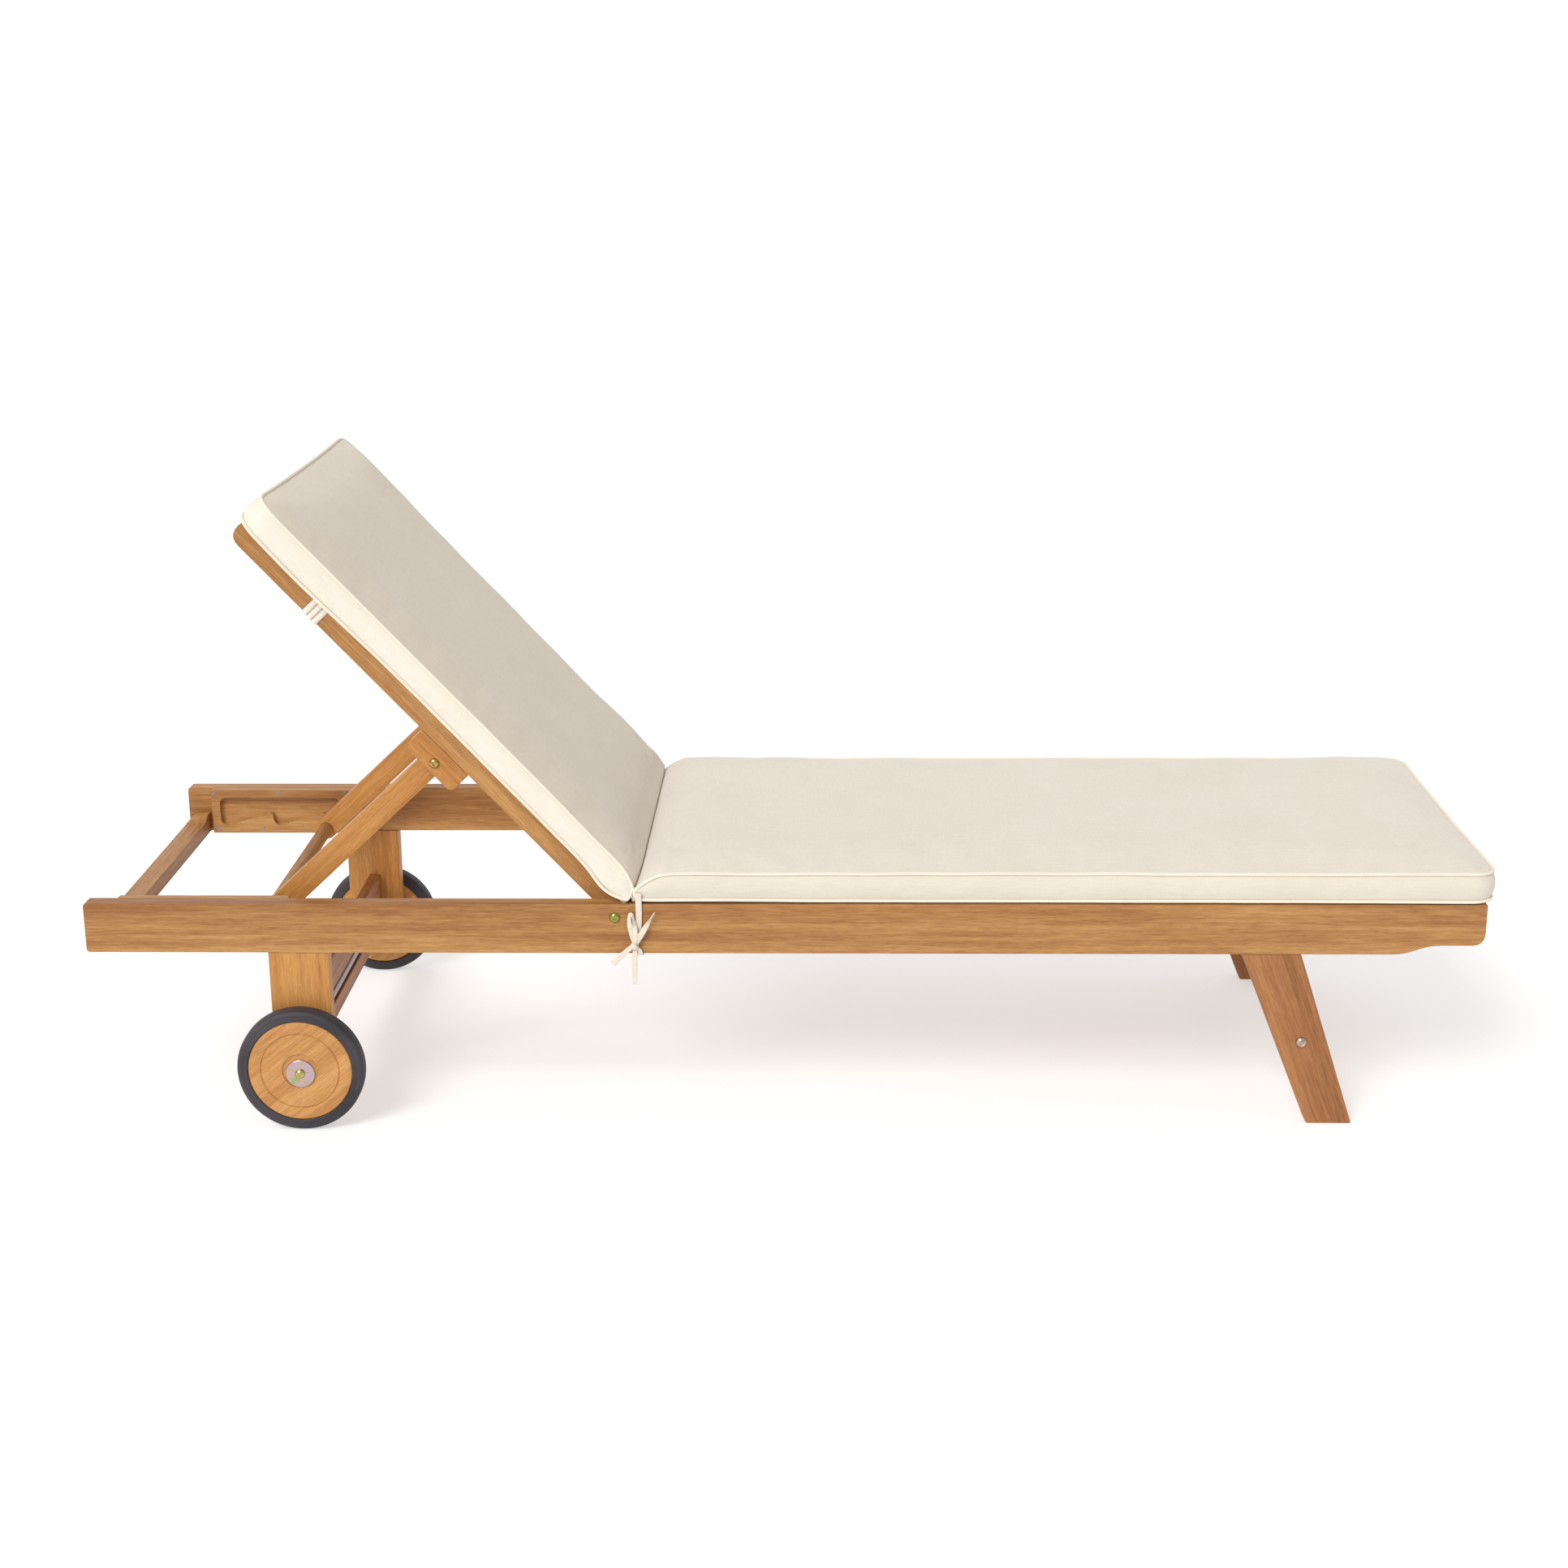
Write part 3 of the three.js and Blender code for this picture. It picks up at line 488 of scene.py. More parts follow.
def add_board(node, tones, turn, seed, arris=0.0022):
    """A CAD board again, as clean faces with softened arrises, in its own piece of timber."""
    body = frame["nodes"][node]["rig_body"]
    shape = bmesh.new()
    shape.from_mesh(frame["nodes"][node].data)
    bmesh.ops.remove_doubles(shape, verts=shape.verts, dist=0.00003)
    bmesh.ops.dissolve_limit(shape, angle_limit=math.radians(0.6), verts=shape.verts, edges=shape.edges)
    mesh = bpy.data.meshes.new(f"{node}_board")
    shape.to_mesh(mesh)
    shape.free()
    if "custom_normal" in mesh.attributes:
        mesh.attributes.remove(mesh.attributes["custom_normal"])
    mesh.polygons.foreach_set("use_smooth", [True] * len(mesh.polygons))
    mesh.materials.clear()
    mesh.materials.append(wood(f"{node}_wood", tones, turn, seed))
    board = bpy.data.objects.new(f"{node}_board", mesh)
    bpy.context.scene.collection.objects.link(board)
    bevel = board.modifiers.new("arris", "BEVEL")
    bevel.width = arris
    bevel.segments = 2
    bevel.limit_method = "ANGLE"
    bevel.angle_limit = math.radians(35)
    bevel.harden_normals = True
    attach(board, body)
    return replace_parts(board, node)


def lean(degrees):
    """The turn that lines the grain up with a board tilted about Y, from lying along X."""
    return (0, math.radians(degrees), 0)


BACK_LEAN = (0, -BACK_ANGLE, 0)
PROP_LEAN = lean(43)
FOOT_LEG_LEAN = lean(-70)
DISC_LEAN = lean(38)

for node, turn in (("side_rail", ALONG_X), ("seat_ledger", ALONG_X), ("notch_plate", ALONG_X)):
    for side_name, side in SIDES:
        add_board(f"{node}_{side_name}", TEAK, turn, 3 + side + len(node))
for side_name, side in SIDES:
    add_board(f"back_rail_{side_name}", TEAK, BACK_LEAN, 11 + side, 0.0025)
    add_board(f"prop_block_{side_name}", TEAK_PALE, BACK_LEAN, 14 + side)
    add_board(f"prop_leg_{side_name}", TEAK_PALE, PROP_LEAN, 17 + side)
    add_board(f"wheel_leg_{side_name}", TEAK_PALE, ALONG_Z, 20 + side, 0.0025)
    add_board(f"foot_leg_{side_name}", TEAK_DARK, FOOT_LEG_LEAN, 23 + side, 0.0025)
for i, node in enumerate(("head_crossbar", "hinge_crossbar", "foot_crossbar", "prop_dowel")):
    add_board(node, TEAK, ALONG_Y, 30 + i, 0.003)
for node in ("wheel_leg_stretcher", "foot_leg_stretcher"):
    add_board(node, TEAK_DARK, ALONG_Y, 40 + len(node), 0.002)
for i in range(8):
    add_board(f"seat_slat_{i + 1}", TEAK, ALONG_Y, 50 + 1.7 * i)
BACK_SLATS = ["back_head_slat"] + [f"back_slat_{i}" for i in range(1, 6)]
for i, node in enumerate(BACK_SLATS):
    add_board(node, TEAK, ALONG_Y, 70 + 1.3 * i)


# ---- fittings ------------------------------------------------------------------------------------

def hexagon(angle, radius):
    """The distance from the centre to a hexagon's edge, at an angle."""
    sector = (angle % (math.pi / 3)) - math.pi / 6
    return radius * math.cos(math.pi / 6) / math.cos(sector)


def cross(angle, radius):
    """A cross recess: four narrow arms."""
    return radius * (0.24 + 0.76 * abs(math.cos(2 * angle)) ** 10)


def add_fitting(name, centre, axis, rings, material, body, sides=72):
    """A turned fitting along an axis. Each ring is (outline function or None, radius, distance out)."""
    direction = Vector(axis).normalized()
    u = direction.orthogonal().normalized()
    v = direction.cross(u)
    vertices = []
    for outline, radius, height in rings:
        for j in range(sides):
            angle = 2 * math.pi * j / sides
            r = outline(angle, radius) if outline else radius
            vertices.append(Vector(centre) + direction * height
                            + u * (r * math.cos(angle)) + v * (r * math.sin(angle)))
    fitting = add_piece(name, vertices, ring_faces(len(rings), sides), material, body)
    face_outwards(fitting)
    fitting.data.set_sharp_from_angle(angle=math.radians(38))
    return fitting


def domed_bolt_rings(radius, height, shank, length):
    """A button head: shank, flat bearing face, rounded rim and dome, then the hexagon socket."""
    rim, crown = 0.12, 1.16
    rings = [(None, shank * 0.85, -length), (None, shank, -length + shank * 0.3), (None, shank, 0)]
    rings += [(None, radius * 0.97, 0)]
    rings += [(None, radius * math.cos(t), height * math.sin(t) / math.sin(crown))
              for t in np.linspace(rim, crown, 9)]
    socket = radius * 0.4
    rings += [(hexagon, socket * 1.06, height), (hexagon, socket, height * 0.97)]
    rings += [(hexagon, socket, height * 0.4), (hexagon, socket * 0.5, height * 0.34)]
    return rings


def add_bolt(node, size, head_y, material):
    """A domed bolt in place of its CAD node. Size is (head radius, head height, shank radius)."""
    low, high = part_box(node)
    side = 1 if high.y > 0 else -1
    centre = ((low.x + high.x) / 2, side * head_y, (low.z + high.z) / 2)
    length = head_y - min(abs(low.y), abs(high.y))
    bolt = add_fitting(f"{node}_domed", centre, (0, side, 0), domed_bolt_rings(*size, length),
                       material, frame["nodes"][node]["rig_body"])
    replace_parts(bolt, node)


def reach(node):
    """How far a piece's two sides lie from the middle plane, the nearer one first."""
    low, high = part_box(node)
    return sorted((abs(low.y), abs(high.y)))


GAP = 0.0003
FOOT_BOLT = (0.0079, 0.0046, 0.004)
HINGE_BOLT = (0.0074, 0.0044, 0.004)
PROP_BOLT = (0.0072, 0.0044, 0.004)
AXLE_BOLT = (0.0072, 0.0045, 0.005)


def washer_rings(bore, radius, thick):
    """A flat washer whose outer edges are stamped round."""
    edge = 0.0004
    return [(None, bore, 0), (None, radius - edge, 0), (None, radius, edge), (None, radius, thick - edge),
            (None, radius - 0.0005, thick), (None, bore, thick), (None, bore, 0)]


def bush_rings(bore, radius, thick):
    """A moulded bush with a small bevel at both ends."""
    edge = 0.0005
    return [(None, bore, 0), (None, radius - edge, 0), (None, radius, edge), (None, radius, thick - edge),
            (None, radius - edge, thick), (None, bore, thick), (None, bore, 0)]


for side_name, side in SIDES:
    add_bolt(f"foot_leg_bolt_{side_name}", FOOT_BOLT, reach(f"foot_leg_{side_name}")[1] + GAP, ROSY_ZINC)
    add_bolt(f"hinge_bolt_{side_name}", HINGE_BOLT, RAIL_OUTER + GAP, GREEN_ZINC_DARK_REFLECTION)
    add_bolt(f"prop_bolt_{side_name}", PROP_BOLT, reach(f"back_rail_{side_name}")[1] + GAP, BRASSY_ZINC)
    inner, outer = reach(f"axle_washer_{side_name}")
    add_bolt(f"axle_bolt_{side_name}", AXLE_BOLT, outer + GAP, STRAW_ZINC)
    washer_low, washer_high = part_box(f"axle_washer_{side_name}")
    axle_x, axle_z = (washer_low.x + washer_high.x) / 2, (washer_low.z + washer_high.z) / 2
    washer = add_fitting(
        f"axle_washer_{side_name}_plate", (axle_x, side * inner, axle_z), (0, side, 0),
        washer_rings(0.0059, 0.0209, outer - inner), WASHER_ZINC, "frame")
    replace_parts(washer, f"axle_washer_{side_name}")
    inner, outer = reach(f"hinge_spacer_{side_name}")
    spacer = add_fitting(
        f"hinge_spacer_{side_name}_bush", (HINGE.x, side * inner, HINGE.z), (0, side, 0),
        bush_rings(0.0043, 0.015, outer - inner), NYLON, "frame")
    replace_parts(spacer, f"hinge_spacer_{side_name}")

rod_low, rod_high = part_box("stretcher_tie_rod")
rod_radius = (rod_high.z - rod_low.z) / 2
rod_length = rod_high.y - rod_low.y
rod_end = 0.0008
rod_start = ((rod_low.x + rod_high.x) / 2, rod_low.y, (rod_low.z + rod_high.z) / 2)
rod = add_fitting(
    "stretcher_tie_rod_bar", rod_start, (0, 1, 0),
    [(None, rod_radius - rod_end, 0), (None, rod_radius, rod_end), (None, rod_radius, rod_length - rod_end),
     (None, rod_radius - rod_end, rod_length)], STEEL, "frame")
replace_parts(rod, "stretcher_tie_rod")

# The notch plates' countersunk screws: (distance from the head, height) of each.
PLATE_SCREWS = [(0.0465, 0.3285), (0.155, 0.330), (0.265, 0.330),
                (0.0505, 0.2695), (0.125, 0.2695), (0.268, 0.2695)]
SCREW_RINGS = [(None, 0.002, -0.004), (None, 0.0036, -0.0004), (None, 0.0036, 0.0001), (None, 0.0033, 0.0004),
               (cross, 0.0022, 0.0005), (cross, 0.0019, -0.0008), (cross, 0.0008, -0.0014)]
for side_name, side in SIDES:
    plate_face = reach(f"notch_plate_{side_name}")[0]
    for i, (distance, height) in enumerate(PLATE_SCREWS):
        centre = (from_head(distance), side * plate_face, height)
        add_fitting(f"notch_plate_screw_{side_name}_{i + 1}", centre, (0, -side, 0), SCREW_RINGS, STEEL,
                    "frame", 32)


# ---- wheels --------------------------------------------------------------------------------------

WHEEL_RADIUS = 0.092
DISC_RADIUS = 0.0755
DISC_GROOVE = 0.057
COUNTERBORE = 0.0258


def arc(centre_r, centre_y, radius, start, end, count):
    """Points on an arc of a turned profile, as (radius, distance out)."""
    return [(centre_r + radius * math.cos(t), centre_y + radius * math.sin(t))
            for t in np.linspace(math.radians(start), math.radians(end), count)]


def turned_rings(profile):
    return [(None, r, y) for r, y in profile]


def closed_turning(name, centre, axis, profile, material, body, sides=144):
    """A turned ring whose profile closes on itself."""
    piece = add_fitting(name, centre, axis, turned_rings(profile), material, body, sides)
    mesh = piece.data
    shape = bmesh.new()
    shape.from_mesh(mesh)
    bmesh.ops.delete(shape, geom=[f for f in shape.faces if len(f.verts) > 4], context="FACES_ONLY")
    bmesh.ops.remove_doubles(shape, verts=shape.verts, dist=0.00001)
    bmesh.ops.recalc_face_normals(shape, faces=shape.faces)
    shape.to_mesh(mesh)
    shape.free()
    mesh.set_sharp_from_angle(angle=math.radians(38))
    return piece


def tyre_profile(width):
    """A solid tyre's section: round shoulders, two fine grooves in the tread, a moulding line on its face."""
    shoulder = 0.007
    groove = 0.0006
    tread = WHEEL_RADIUS - shoulder
    profile = [(DISC_RADIUS + GAP, 0.0008), (DISC_RADIUS + 0.0012, 0), (tread - 0.001, 0)]
    profile += arc(tread, shoulder, shoulder, -85, -4, 7)
    for start in (0.34, 0.6):
        profile += [(WHEEL_RADIUS, width * start), (WHEEL_RADIUS - groove, width * (start + 0.02)),
                    (WHEEL_RADIUS - groove, width * (start + 0.04)), (WHEEL_RADIUS, width * (start + 0.06))]
    profile += arc(tread, width - shoulder, shoulder, 4, 85, 7)
    profile += [(tread - 0.001, width), (tread - 0.0022, width - 0.0005), (tread - 0.0034, width)]
    profile += [(DISC_RADIUS + 0.0016, width), (DISC_RADIUS + GAP, width - 0.0012)]
    return profile + profile[:1]


def disc_profile(back_face, front):
    """The wooden disc's section: hub, back, rounded rim, ring groove and the counterbore round the bore."""
    bore, hub, rim = 0.0091, 0.02, 0.0022
    recess = front - 0.002
    profile = [(bore, 0), (hub - 0.0008, 0), (hub, 0.0008), (hub, back_face)]
    profile += [(DISC_RADIUS - 0.002, back_face), (DISC_RADIUS, back_face + 0.002)]
    profile += [(DISC_RADIUS, front - rim)]
    profile += arc(DISC_RADIUS - rim, front - rim, rim, 15, 85, 4)
    profile += [(DISC_GROOVE + 0.0016, front), (DISC_GROOVE + 0.0009, front - 0.0004)]
    profile += arc(DISC_GROOVE, front - 0.0006, 0.0009, -10, -170, 5)
    profile += [(DISC_GROOVE - 0.0016, front), (COUNTERBORE + 0.0006, front), (COUNTERBORE, front - 0.0006)]
    profile += [(COUNTERBORE, recess), (bore, recess)]
    return profile + profile[:1]


for side_name, side in SIDES:
    body = f"wheel_{side_name}"
    tyre_low, tyre_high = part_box(f"tyre_{side_name}")
    axle_x, axle_z = (tyre_low.x + tyre_high.x) / 2, (tyre_low.z + tyre_high.z) / 2
    inner, outer = reach(f"tyre_{side_name}")
    tyre = closed_turning(f"tyre_{side_name}_rubber", (axle_x, side * inner, axle_z), (0, side, 0),
                          tyre_profile(outer - inner), RUBBER, body)
    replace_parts(tyre, f"tyre_{side_name}")

    hub, face = reach(f"wheel_disc_{side_name}")
    grain = wood(f"wheel_disc_{side_name}_wood", TEAK_DISC, DISC_LEAN, 91 + side)
    disc = closed_turning(f"wheel_disc_{side_name}_turned", (axle_x, side * hub, axle_z), (0, side, 0),
                          disc_profile(inner + 0.001 - hub, face - hub), grain, body)
    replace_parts(disc, f"wheel_disc_{side_name}")


# ---- cushions ------------------------------------------------------------------------------------

CELL = 0.012
FINE_STEPS = (0.003, 0.003, 0.004, 0.005, 0.006, 0.008, 0.010)
HALF_WIDTH = 0.3035
SEAM_LOW = 0.0242
BOTTOM = 0.0209
WALL_ROWS = 5
PLAN_CORNER = 0.034
PINCHED_CORNER = 0.005
FOLD_X = 0.0105
FOLD_CLEARANCE = 0.0003
FOLD_SLOPE = math.tan(BACK_ANGLE / 2)


def grid_line(length):
    """Places along a cushion, closer together at its two ends."""
    fine = list(np.cumsum((0,) + FINE_STEPS))
    count = round((length - 2 * fine[-1]) / CELL)
    coarse = list(np.linspace(fine[-1], length - fine[-1], count + 1))[1:]
    return fine + coarse + [length - place for place in reversed(fine[:-1])]


def fade(value):
    """1 at 0 and below, 0 at 1 and above, smooth between."""
    t = min(1.0, max(0.0, value))
    return 1 - t * t * (3 - 2 * t)


class Cushion:
    """A boxed cushion: top and bottom panels, a boxing strip between their seams, and a pinched fold end.

    Its own axes are s along it from the fold, y across, and h above the hinge. The fold end lies on the
    plane that halves the angle between seat and back. Heights: seam_high is the top seam, crown how much
    higher the top panel's middle is, lip the top panel's edge at the fold, pinch and low_pinch the two
    seams at the fold's corners. Each droop is (place, reach, depth) of a sag in the lower seam.
    """

    def __init__(self, fold_side, end, seam_high, crown, pinch, low_pinch, low_reach, lip, droops, seed):
        self.fold_side = fold_side
        self.length = end - fold_side * FOLD_X
        self.seam_high = seam_high
        self.crown = crown
        self.pinch = pinch
        self.low_pinch = low_pinch
        self.low_reach = low_reach
        self.lip = lip
        self.droops = droops
        self.seed = seed
        self.along = grid_line(self.length)
        self.across = grid_line(2 * HALF_WIDTH)
        self.columns = len(self.along) - 1
        self.rows = len(self.across) - 1

    def wobble(self, s, y, offset, wavelength):
        return noise.noise(Vector((s / wavelength, y / wavelength, self.seed + offset)))

    def plan(self, i, j):
        """The grid point's place in plan, with rounded corners and sides pulled in between them."""
        s = self.along[i]
        y = self.across[j] - HALF_WIDTH
        for corner_s, sign_s in ((self.length, 1), (0.0, -1)):
            radius = PLAN_CORNER if sign_s > 0 else PINCHED_CORNER
            a = (s - (corner_s - sign_s * radius)) * sign_s
            b = abs(y) - (HALF_WIDTH - radius)
            if a > 0 and b > 0:
                scale = max(a, b) / math.hypot(a, b)
                s = corner_s - sign_s * radius + sign_s * a * scale
                y = math.copysign(HALF_WIDTH - radius + b * scale, y)
        side = abs(y) / HALF_WIDTH
        reach = min(1.0, s / self.length)
        pull = 0.0035 * math.sin(math.pi * reach) ** 0.5 * side ** 3
        end = 0.003 * (1 - (y / HALF_WIDTH) ** 2) * max(0.0, reach * 2 - 1) ** 3
        y -= math.copysign(pull, y)
        y += math.copysign(0.0016 * self.wobble(s, y, 5, 0.11) * side ** 6, y)
        return s - end, y

    def pinched(self, s, y):
        """How strongly the fold's two bottom corners gather the cushion: 1 at a corner, 0 away from it."""
        side = HALF_WIDTH - abs(y)
        return math.exp(-max(0.0, s) / 0.016) * math.exp(-(max(0.0, side) / 0.03) ** 1.4)

    def top(self, s, y, on_seam):
        edge_y = HALF_WIDTH - abs(y)
        edge_s = self.length - s
        rise = self.crown * (1 - math.exp(-max(0, edge_y) / 0.022)) * (1 - math.exp(-max(0, edge_s) / 0.022))
        h = self.seam_high + (0.0 if on_seam else rise)
        h += (self.lip - h) * math.exp(-max(0.0, s) / 0.018) * (1 - math.exp(-max(0, edge_y) / 0.02))
        h += 0.0012 * self.wobble(s, y, 9, 0.09)
        return h - (self.seam_high - self.pinch) * self.pinched(s, y)

    def low_seam(self, s, y):
        droop = sum(depth * math.exp(-((s - place) / reach) ** 2) for place, reach, depth in self.droops)
        droop *= 1 - fade(abs(y) / HALF_WIDTH)
        return SEAM_LOW - droop + (self.low_pinch - SEAM_LOW) * self.pinched(s * self.low_reach, y)

    def gather(self, s, rise):
        """Small folds in the boxing that run out from the pinched corner."""
        reach = math.hypot(s, rise)
        folds = math.sin(8 * math.atan2(rise, s + 0.002) + self.seed)
        return 0.0024 * folds * math.exp(-reach / 0.022) * (1 - fade(reach / 0.01))

    def local(self, s, y, h):
        """s, y, h as a place beside the hinge, with the fold end sheared to the fold plane."""
        along = s + FOLD_CLEARANCE + FOLD_X * self.fold_side + h * FOLD_SLOPE * fade(s / 0.09)
        return Vector((along, y, h))

    def build(self):
        self.vertices, faces = [], []
        top = {}
        bottom = {}

        def add(point):
            self.vertices.append(point)
            return len(self.vertices) - 1

        self.pinned = set()
        for i in range(self.columns + 1):
            for j in range(self.rows + 1):
                s, y = self.plan(i, j)
                seam = i in (0, self.columns) or j in (0, self.rows)
                top[i, j] = add(self.local(s, y, self.top(s, y, seam)))
                low = self.low_seam(s, y)
                settle = BOTTOM if not seam else low
                bottom[i, j] = add(self.local(s, y, settle))
                self.pinned.add(bottom[i, j])
                if seam or s < 0.03:
                    self.pinned.add(top[i, j])
        for i in range(self.columns):
            for j in range(self.rows):
                faces.append((top[i, j], top[i + 1, j], top[i + 1, j + 1], top[i, j + 1]))
                faces.append((bottom[i, j], bottom[i, j + 1], bottom[i + 1, j + 1], bottom[i + 1, j]))
        ring = [(i, 0) for i in range(self.columns)]
        ring += [(self.columns, j) for j in range(self.rows)]
        ring += [(i, self.rows) for i in range(self.columns, 0, -1)]
        ring += [(0, j) for j in range(self.rows, 0, -1)]
        count = len(ring)
        walls = [[bottom[key] for key in ring]]
        for k in range(1, WALL_ROWS):
            t = k / WALL_ROWS
            row = []
            for n, key in enumerate(ring):
                low, high = self.vertices[bottom[key]], self.vertices[top[key]]
                before = self.vertices[bottom[ring[n - 1]]]
                after = self.vertices[bottom[ring[(n + 1) % count]]]
                outward = (after - before).cross(Vector((0, 0, 1))).normalized()
                bulge = min(0.0058, 0.13 * (high - low).length) * math.sin(math.pi * t)
                if key[0] == 0:
                    bulge *= 0.1
                elif key[1] in (0, self.rows):
                    bulge += self.gather(self.along[key[0]], low.lerp(high, t).z - self.pinch)
                row.append(add(low.lerp(high, t) + outward * bulge))
                if key[0] <= 1:
                    self.pinned.add(row[-1])
            walls.append(row)
        walls.append([top[key] for key in ring])
        for lower, upper in zip(walls, walls[1:]):
            for n in range(count):
                m = (n + 1) % count
                faces.append((lower[n], lower[m], upper[m], upper[n]))
        self.top_seam = [top[key] for key in ring]
        self.low_seam_ring = [bottom[key] for key in ring]
        return faces


def puff(piece, pinned, pressure, growth, cap):
    """Fills a stitched cover: Cloth with air pressure and pinned seams. No point moves further than cap."""
    mesh = piece.data
    before = np.array([v.co for v in mesh.vertices])
    group = piece.vertex_groups.new(name="seams")
    group.add(sorted(pinned), 1.0, "REPLACE")
    cloth = piece.modifiers.new("cloth", "CLOTH")
    settings = cloth.settings
    settings.vertex_group_mass = "seams"
    settings.use_pressure = True
    settings.uniform_pressure_force = pressure
    settings.effector_weights.gravity = 0
    settings.quality = 6
    settings.mass = 0.4
    settings.tension_stiffness = 40
    settings.compression_stiffness = 40
    settings.shear_stiffness = 20
    settings.bending_stiffness = 3
    settings.shrink_min = -growth
    settings.shrink_max = -growth
    scene = bpy.context.scene
    for number in range(1, 21):
        scene.frame_set(number)
    shaped = piece.evaluated_get(bpy.context.evaluated_depsgraph_get()).to_mesh()
    after = np.array([v.co for v in shaped.vertices])
    piece.modifiers.remove(cloth)
    piece.vertex_groups.clear()
    scene.frame_set(1)
    moved = after - before
    far = np.linalg.norm(moved, axis=1)
    scale = np.where(far > 1e-9, cap * np.tanh(far / cap) / np.maximum(far, 1e-9), 1.0)
    mesh.vertices.foreach_set("co", (before + moved * scale[:, None]).ravel())
    mesh.update()


PIPING_PROUD = 0.0013


def add_piping(name, points, material, radius=0.0023):
    """A covered cord sewn into a seam, drawn along the seam's points."""
    data = bpy.data.curves.new(name, "CURVE")
    data.dimensions = "3D"
    data.bevel_depth = radius
    data.bevel_resolution = 3
    data.use_fill_caps = True
    spline = data.splines.new("NURBS")
    spline.points.add(len(points) - 1)
    for target, point in zip(spline.points, points):
        target.co = (*point, 1)
    spline.order_u = 4
    spline.use_endpoint_u = True
    spline.resolution_u = 2
    piping = bpy.data.objects.new(name, data)
    data.materials.append(material)
    bpy.context.scene.collection.objects.link(piping)
    return piping


def seam_run(cushion, mesh, ring, lift):
    """The seam's points from one fold corner round the cushion to the other, moved outwards by the piping."""
    count = len(ring) - cushion.rows + 1
    points = []
    for index in ring[:count]:
        co = mesh.vertices[index].co
        edge_s = max(0.0, co.x - (cushion.length + cushion.fold_side * FOLD_X - PLAN_CORNER))
        outward = Vector((edge_s, math.copysign(max(0.0, abs(co.y) - HALF_WIDTH + PLAN_CORNER), co.y), 0))
        outward = outward.normalized() if outward.length > 1e-6 else Vector((0, math.copysign(1, co.y), 0))
        points.append(co + outward * PIPING_PROUD + Vector((0, 0, lift)))
    return points


def add_cushion(cushion, node, place, material, boxing):
    faces = cushion.build()
    piece = add_piece(f"{node}_cover", cushion.vertices, faces, material, None)
    piece.data.materials.append(boxing)
    panel_faces = 2 * cushion.columns * cushion.rows
    for face in piece.data.polygons[panel_faces:]:
        face.material_index = 1
    face_outwards(piece)
    puff(piece, cushion.pinned, 3.0, 0.004, 0.006)
    mesh = piece.data
    top_run = seam_run(cushion, mesh, cushion.top_seam, -0.0002)
    bottom_run = seam_run(cushion, mesh, cushion.low_seam_ring, -0.0004)
    runs = {"top": top_run, "bottom": [top_run[0]] + bottom_run + [top_run[-1]]}
    smooth = piece.modifiers.new("smooth", "SUBSURF")
    smooth.levels = smooth.render_levels = 1
    mesh.transform(place)
    for key, points in runs.items():
        piping = add_piping(f"{node}_piping_{key}", [place @ p for p in points], PIPING_LIT)
        join_motion(piping)
    join_motion(piece)
    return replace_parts(piece, node)


def join_motion(piece):
    """Bakes a piece's placement into its mesh. Curves become meshes first."""
    if piece.type == "CURVE":
        mesh = bpy.data.meshes.new_from_object(piece.evaluated_get(bpy.context.evaluated_depsgraph_get()))
        name = piece.name
        bpy.data.objects.remove(piece)
        mesh.polygons.foreach_set("use_smooth", [True] * len(mesh.polygons))
        piece = bpy.data.objects.new(name, mesh)
        bpy.context.scene.collection.objects.link(piece)
    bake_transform(piece)
    return piece


seat = Cushion(fold_side=1, end=1.250, seam_high=0.0648, crown=0.013, pinch=0.040, low_pinch=0.036,
               low_reach=2.2, lip=0.064, droops=[(0.05, 0.2, -0.0018)], seed=1.0)
add_cushion(seat, "seat_cushion", Matrix.Translation(HINGE), SEAT_CANVAS, SEAT_BOXING)
back = Cushion(fold_side=-1, end=0.762, seam_high=0.0605, crown=0.014, pinch=0.0475, low_pinch=0.0345,
               low_reach=1.1, lip=0.071, droops=[(0.05, 0.032, 0.0068), (0.66, 0.12, 0.0045)], seed=4.0)
back_place = Matrix.Translation(HINGE) @ BACK_TURN @ Matrix.Scale(-1, 4, (1, 0, 0))
add_cushion(back, "back_cushion", back_place, BACK_CANVAS_SHADED, BACK_BOXING_LIT)


# ---- elastic straps ------------------------------------------------------------------------------

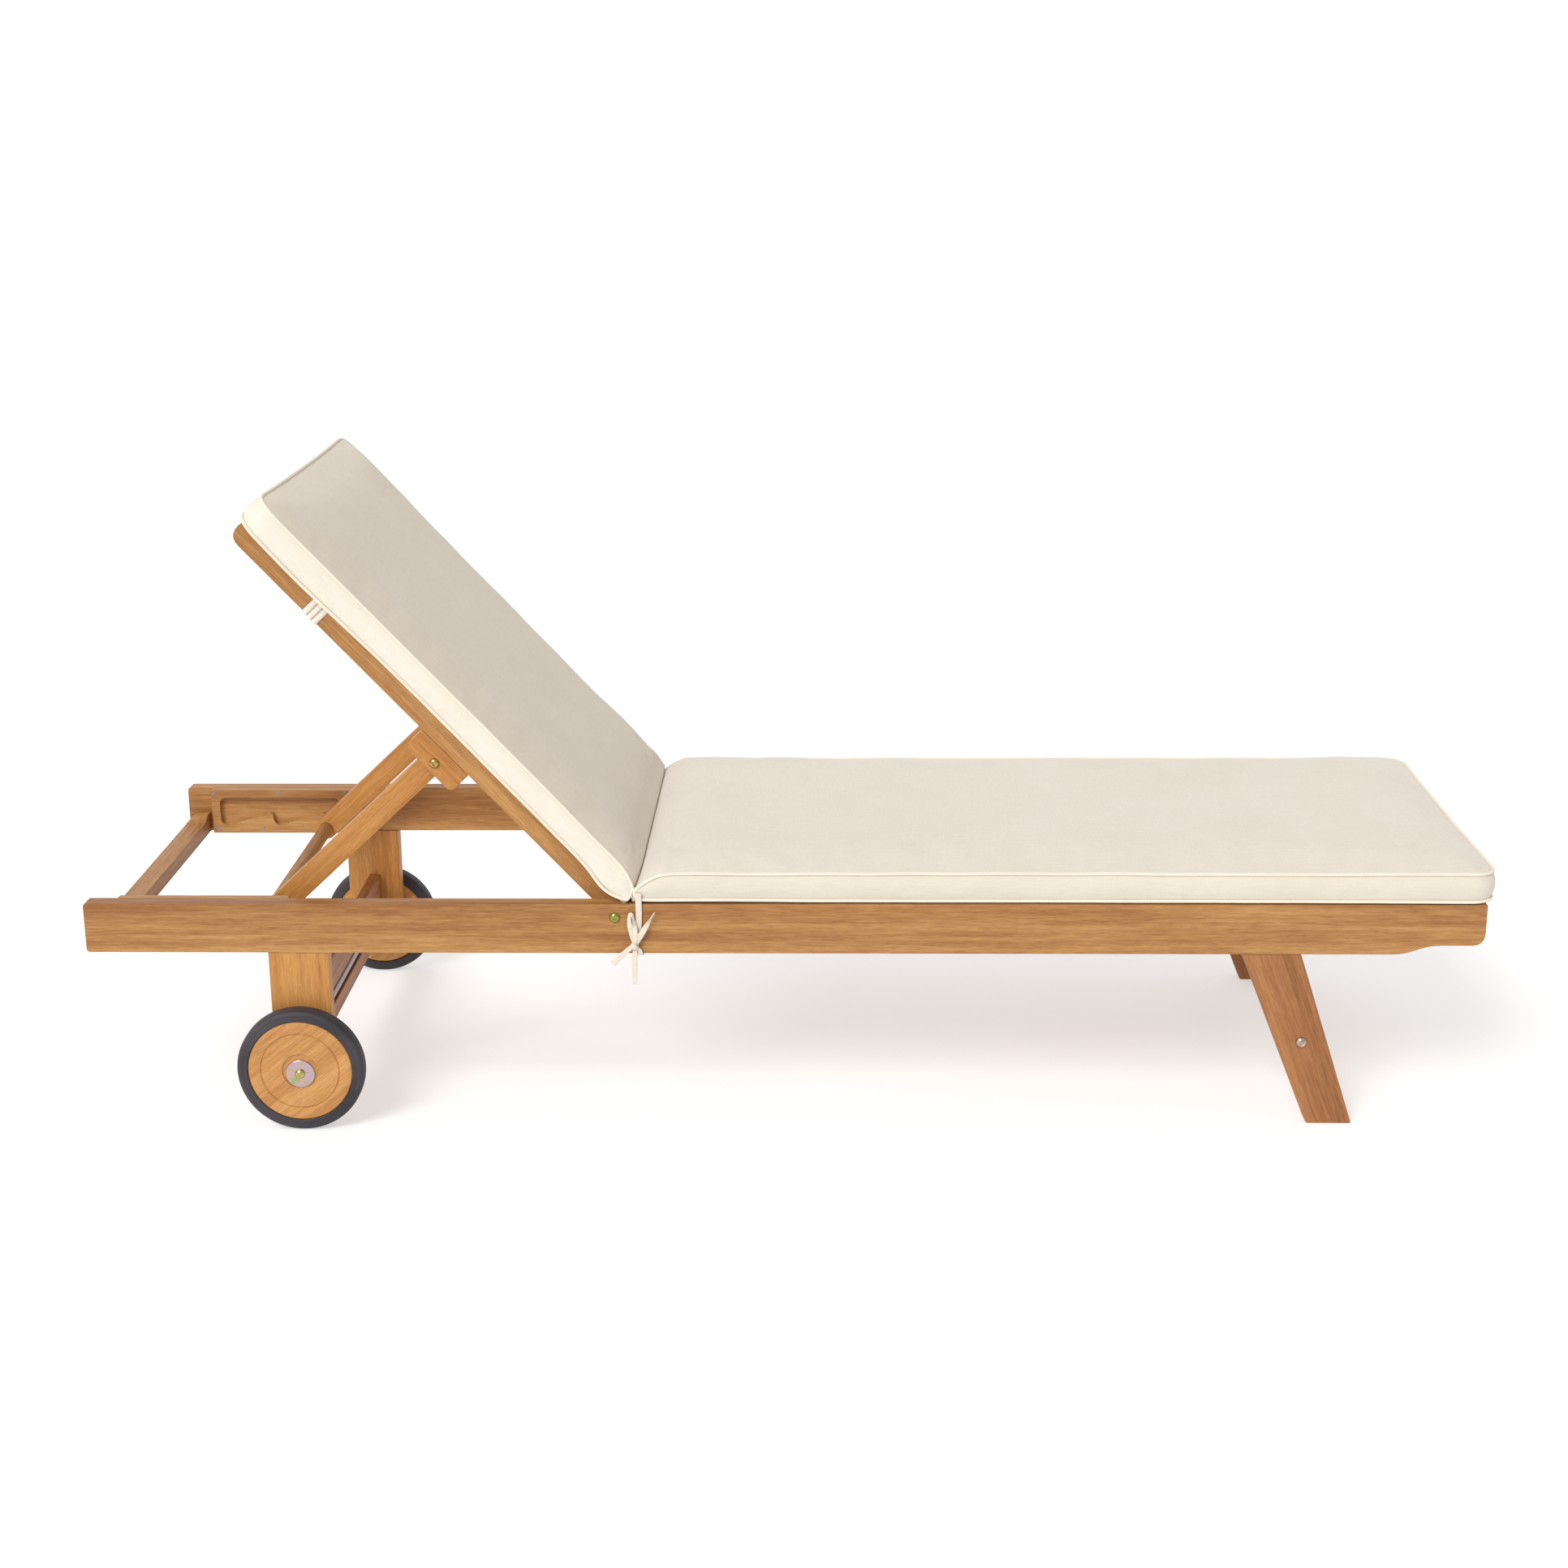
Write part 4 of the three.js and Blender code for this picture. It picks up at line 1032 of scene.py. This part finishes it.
def add_elastic(side_name, side):
    """A shirred elastic band round the back rail: three puffed channels, gathered along their length."""
    width = 0.028
    middle = -0.600
    back_turn = Matrix.Translation(HINGE) @ BACK_TURN
    low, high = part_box(f"back_rail_{side_name}")
    inner, outer = sorted((abs(low.y), abs(high.y)))
    inner -= 0.0006
    outer += 0.0006
    top, bottom = 0.0205, -0.0181
    route = [(outer, top), (outer, 0.010), (outer, bottom + 0.004), (outer - 0.0012, bottom + 0.001),
             (outer - 0.004, bottom), (inner + 0.004, bottom), (inner + 0.0012, bottom + 0.001),
             (inner, bottom + 0.004), (inner, 0.010), (inner, 0.0185)]
    line = smooth_line([(0, side * y, h) for y, h in route], 0.0007)
    tangents = np.gradient(line, axis=0)
    across = 37
    vertices = []
    for i, (point, tangent) in enumerate(zip(line, tangents)):
        tangent = Vector(tangent).normalized()
        outward = Vector((1, 0, 0)).cross(tangent) * side
        for layer in (0, 1):
            for j in range(across):
                t = j / (across - 1)
                puff_height = abs(math.sin(3 * math.pi * t)) ** 0.5
                channel = math.floor(min(2.99, 3 * t))
                gather = 0.5 + 0.5 * math.sin(i * 1.55 + 2.1 * channel + 1.3 * math.sin(9 * t))
                lift = layer * (0.0004 + puff_height * (0.0017 + 0.0010 * gather))
                waist = width * (1 - 0.04 * gather)
                vertices.append(Vector(point) + outward * lift + Vector((middle + (t - 0.5) * waist, 0, 0)))
    ring = list(range(across)) + list(range(2 * across - 1, across - 1, -1))
    sides = len(ring)
    ordered = [vertices[i * sides + k] for i in range(len(line)) for k in ring]
    strap = add_piece(f"elastic_strap_{side_name}_web", [back_turn @ v for v in ordered],
                      ring_faces(len(line), sides), ELASTIC, "back")
    face_outwards(strap)
    # The faces along the two grooves between the channels get the darker copy of the cloth, as painted shade.
    strap.data.materials.append(ELASTIC_GROOVE_SHADE)
    for face in strap.data.polygons:
        outer_place = (2 * across - 1.5 - face.index % sides) / (across - 1)
        if min(abs(outer_place - 1 / 3), abs(outer_place - 2 / 3)) < 1.6 / (across - 1):
            face.material_index = 1
    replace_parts(strap, f"elastic_strap_{side_name}")


for side_name, side in SIDES:
    add_elastic(side_name, side)


# ---- floor and light -----------------------------------------------------------------------------

def add_studio():
    """A pale floor that sweeps up into a back wall. A little light of its own keeps its shadows pale."""
    s = Shader("studio_paint")
    cloud = s.noise(s.place, scale=1.5, detail=3)
    s.set(Base_Color=s.mix(tone(196, 196, 197), tone(201, 201, 202), cloud), Roughness=0.9,
          Emission_Color=(1, 0.99, 0.98, 1), Emission_Strength=0.5)
    s.material.cycles.emission_sampling = "NONE"
    half_width, front, back, sweep, height = 40, -30, 24, 6, 22
    level = -0.0004
    profile = [(front, level), (back, level)]
    profile += [(back + sweep * math.sin(t), level + sweep * (1 - math.cos(t)))
                for t in np.linspace(0.1, math.pi / 2, 14)]
    profile.append((back + sweep, height))
    vertices = [(x, y, z) for y, z in profile for x in (-half_width, half_width)]
    faces = [(2 * i, 2 * i + 1, 2 * i + 3, 2 * i + 2) for i in range(len(profile) - 1)]
    add_piece("studio_floor", vertices, faces, s.material, None)


def add_sun(name, towards, strength, softness, color=(1, 1, 1)):
    """A soft distant lamp. Towards is the direction from the lounger to the lamp."""
    data = bpy.data.lights.new(name, "SUN")
    data.energy = strength
    data.angle = math.radians(softness)
    data.color = color
    lamp = bpy.data.objects.new(name, data)
    lamp.rotation_euler = Vector(towards).to_track_quat("Z", "Y").to_euler()
    bpy.context.scene.collection.objects.link(lamp)


def add_daylight(strength):
    world = bpy.data.worlds.new("studio")
    bpy.context.scene.world = world
    world.use_nodes = True
    world.node_tree.nodes["Background"].inputs["Color"].default_value = (1, 1, 1, 1)
    world.node_tree.nodes["Background"].inputs["Strength"].default_value = strength


add_studio()
add_daylight(0.64)
add_sun("key", (-0.39, -0.64, 0.66), 2.05, 26, (1.0, 0.985, 0.965))
bpy.context.scene.view_settings.view_transform = "Standard"
